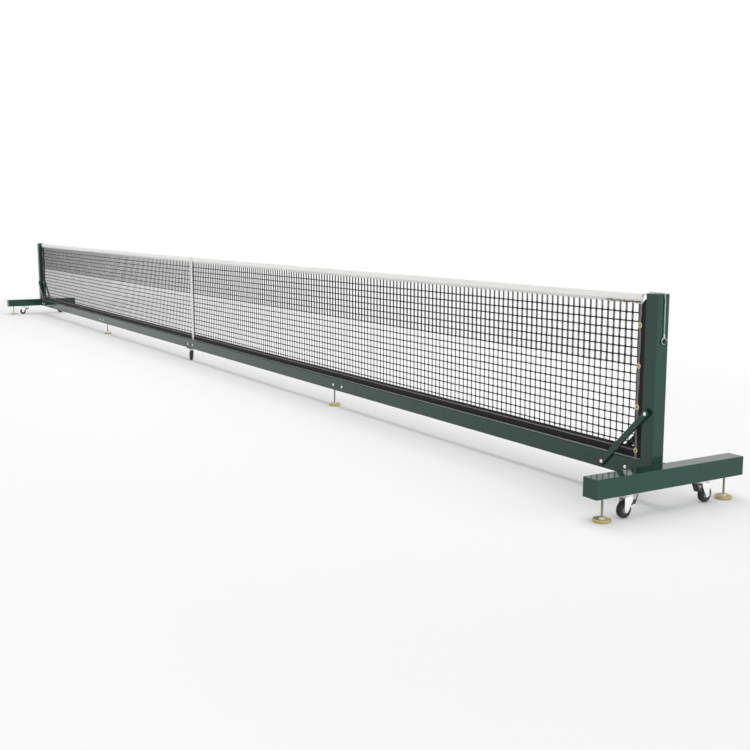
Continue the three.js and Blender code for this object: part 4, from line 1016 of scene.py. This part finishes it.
# Weft ribs are 1.8 mm apart, drawn 3 mm apart so that they show.
along_y = {"wave_type": "BANDS", "bands_direction": "Y"}
ribs = add("TexWave", along_y, Vector=flat_place, Scale=52.0, Distortion=0.6).outputs["Fac"]
web_tone = add("Mix", RGBA, ribs, "#cfcfcb", "#e3e3e0")
rib_bump = add("Bump", Strength=0.35, Distance=0.0004, Height=ribs)
webbing = add("BsdfPrincipled", Base_Color=web_tone, Roughness=0.65, Normal=rib_bump)
add("OutputMaterial", Surface=webbing)

strap_low, strap_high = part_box("centre_strap")
ply_y = strap_high.y - 0.001
strap_top = strap_high.z - 0.001
TOP_ROUND = 0.006
rise = np.linspace(strap_low.z, strap_top - TOP_ROUND, 44)
bow = 0.0006 * np.sin(np.linspace(0, math.pi, 44))
turn = np.radians(np.linspace(180, 0, 15))
over_y = ply_y * np.sign(np.cos(turn)) * np.abs(np.cos(turn)) ** 0.75
over_z = strap_top - TOP_ROUND + TOP_ROUND * np.abs(np.sin(turn)) ** 0.85
climb = np.stack([-ply_y - bow, rise], -1)
over = np.stack([over_y, over_z], -1)[1:-1]
strap_path = np.concatenate([climb, over, climb[::-1] * (-1, 1)])
strap_run = distance_along(strap_path)
# The webbing's section: 50 mm across and 2 mm thick, with eased selvedges.
section = [(-24.3, -1), (24.3, -1), (25, -0.5), (25, 0.5), (24.3, 1), (-24.3, 1), (-25, 0.5)]
section = np.array([*section, (-25, -0.5)]) / 1000
points = np.empty((len(strap_path), 8, 3))
points[..., 0] = section[:, 0]
points[..., 1:] = strap_path[:, None] + sideways(strap_path)[:, None] * section[:, 1:]
uv = np.empty((len(strap_path), 8, 2))
uv[..., 0], uv[..., 1] = section[:, 0], strap_run[:, None]
caps = np.stack([np.arange(8)[::-1], (len(strap_path) - 1) * 8 + np.arange(8)])
strap = [(points, [grid(len(strap_path), 8), caps], uv)]
nodes = ["centre_strap"]
strap = piece("centre_strap_webbing", strap, white_webbing, "white_webbing", nodes, crease=50)

# Nickel is a warmer white than zinc, hazed in spots of about 7 mm.
plated = {"Metallic": 1.0, "Roughness": 0.32}
nickel = mottled("warm_nickel_plated_steel", 150.0, 2.0, "#b3a5a0", "#cfc3be", **plated)
anchor_low, anchor_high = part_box("strap_anchor")
ear, ear_in = anchor_high.y, anchor_high.y - 0.002
base_z, top_z = anchor_low.z, anchor_high.z
lip = [(ear, top_z - 0.0006), (ear - 0.0006, top_z), (ear_in + 0.0005, top_z)]
lip = np.array([*lip, (ear_in, top_z - 0.0005), (ear_in, base_z + 0.0025)])
profile = np.concatenate([
    arc(-ear + 0.002, base_z + 0.002, 0.002, 180, 270, 5),
    arc(ear - 0.002, base_z + 0.002, 0.002, -90, 0, 5),
    lip,
    lip[::-1] * (-1, 1),
])
made = [prism(profile, anchor_high.x - anchor_low.x, "x", (anchor_low.x, 0, 0))]
dome = np.array([(0, 1.7), (1.6, 1.5), (2.9, 0.9), (3.6, 0), (3.6, -0.4), (0, -0.4)])
for x in (-0.012, 0.012):
    for front in (1, -1):
        rivet = dome * (1, front) + (0, front * ear * 1000)
        made.append(spun(rivet, 14, "y", (x, 0, base_z + 0.013)))
piece("strap_anchor_channel", made, nickel, "bright_zinc", ["strap_anchor"], crease=35)


# ---- Head cord ----
# Galvanised wire rope, 6 mm thick, six strands laid right-handed over a core, under tension through
# the headband. Each end goes over its post's cap and down to a soft eye with a pressed ferrule.

# Zinc spangle is about 2.5 mm across on the wires.
galvanised = {"Metallic": 0.85, "Roughness": 0.38}
wire_steel = mottled("galvanised_steel_wire", 400.0, 2.0, "#aeb2b2", "#d3d6d4", **galvanised)

post_top = post_high.z
ROPE_X = OUTER_FACE + 0.0053
EYE_Y, EYE_R = 0.006, 0.015
eye_z = post_top - 0.235
over_cap = post_top + 0.0033
head_line = [
    (BAND_X - 0.020, 0, CORD_Z - 0.00004),
    (BAND_X - 0.006, 0, CORD_Z + 0.0001),
    (BAND_X + 0.008, 0, CORD_Z + 0.0008),
    (BAND_X + 0.032, 0, CORD_Z + 0.0075),
    (INNER_FACE - 0.007, 0, over_cap + 0.0003),
    (INNER_FACE + 0.010, 0, over_cap + 0.0006),
    (POST_X, 0, over_cap + 0.0002),
    (OUTER_FACE - 0.009, 0, over_cap + 0.0003),
    (OUTER_FACE + 0.0002, 0.0003, over_cap + 0.0009),
    (OUTER_FACE + 0.0038, 0.0007, post_top + 0.0028),
    (OUTER_FACE + 0.0052, 0.0012, post_top - 0.0012),
    (ROPE_X, 0.0025, post_top - 0.010),
    (ROPE_X, 0.0052, post_top - 0.030),
    (ROPE_X, EYE_Y, post_top - 0.050),
    (ROPE_X, EYE_Y, eye_z + EYE_R + 0.006),
]


def even(line, step):
    """The same line with points one step apart, measured along it."""
    run_at = distance_along(line)
    at = np.linspace(0, run_at[-1], max(int(run_at[-1] / step), 2) + 1)
    return np.stack([np.interp(at, run_at, line[:, k]) for k in range(3)], -1), at


def rope(line, step=0.0022, lay=0.036, strands=6):
    """Strands laid round a core: each turns round the line once in the lay length, at 2 mm from it,
    with a frame carried along the line so that it never twists."""
    line, at = even(line, step)
    along = directions(line)
    side = np.cross(along, (0.0, 1.0, 0.0))
    side /= np.linalg.norm(side, axis=1)[:, None]
    up = np.cross(along, side)
    made = [run(line, 0.0012, 6)]
    for k in range(strands):
        turn = (at / lay * 2 * math.pi + k / strands * 2 * math.pi)[:, None]
        strand = line + 0.00195 * (np.cos(turn) * side + np.sin(turn) * up)
        made.append(carried(strand, side, up, 0.00104, 6, (strand[0], strand[-1])))
    return made


ferrule = [(0, -0.6), (3.6, -0.5), (4.6, 0.4), (5, 1.6), (5, 7), (4.8, 7.6), (5, 8.2), (5, 12)]
ferrule += [(4.8, 12.6), (5, 13.2), (5, 18.6), (4.4, 20), (3.3, 20.4), (0, 20.4)]
eye = arc(EYE_Y, eye_z, EYE_R, 90, 450, 61)
eye[-1] = eye[0]
end = rope(smooth_path(head_line, 10))
end.append(run(np.insert(eye, 0, ROPE_X, axis=1), 0.0029, 10))
end.append(spun(ferrule, 20, "z", (ROPE_X, EYE_Y, eye_z + EYE_R - 0.0005)))
ends = [(points * (sign, sign, 1), faces) for sign in (1, -1) for points, faces in end]
middle_x = np.linspace(-BAND_X + 0.02, BAND_X - 0.02, 41)
middle = run(np.stack([middle_x, 0 * middle_x, CORD_Z - dip(middle_x)], -1), 0.0029, 8)
piece("head_cord_rope", [*ends, middle], wire_steel, "steel_cable", ["head_cord"], crease=60)


shown_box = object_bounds()
boxes = {"cad": cad_box, "visual": shown_box}
{k: [list(corner) for corner in v] for k, v in boxes.items()}
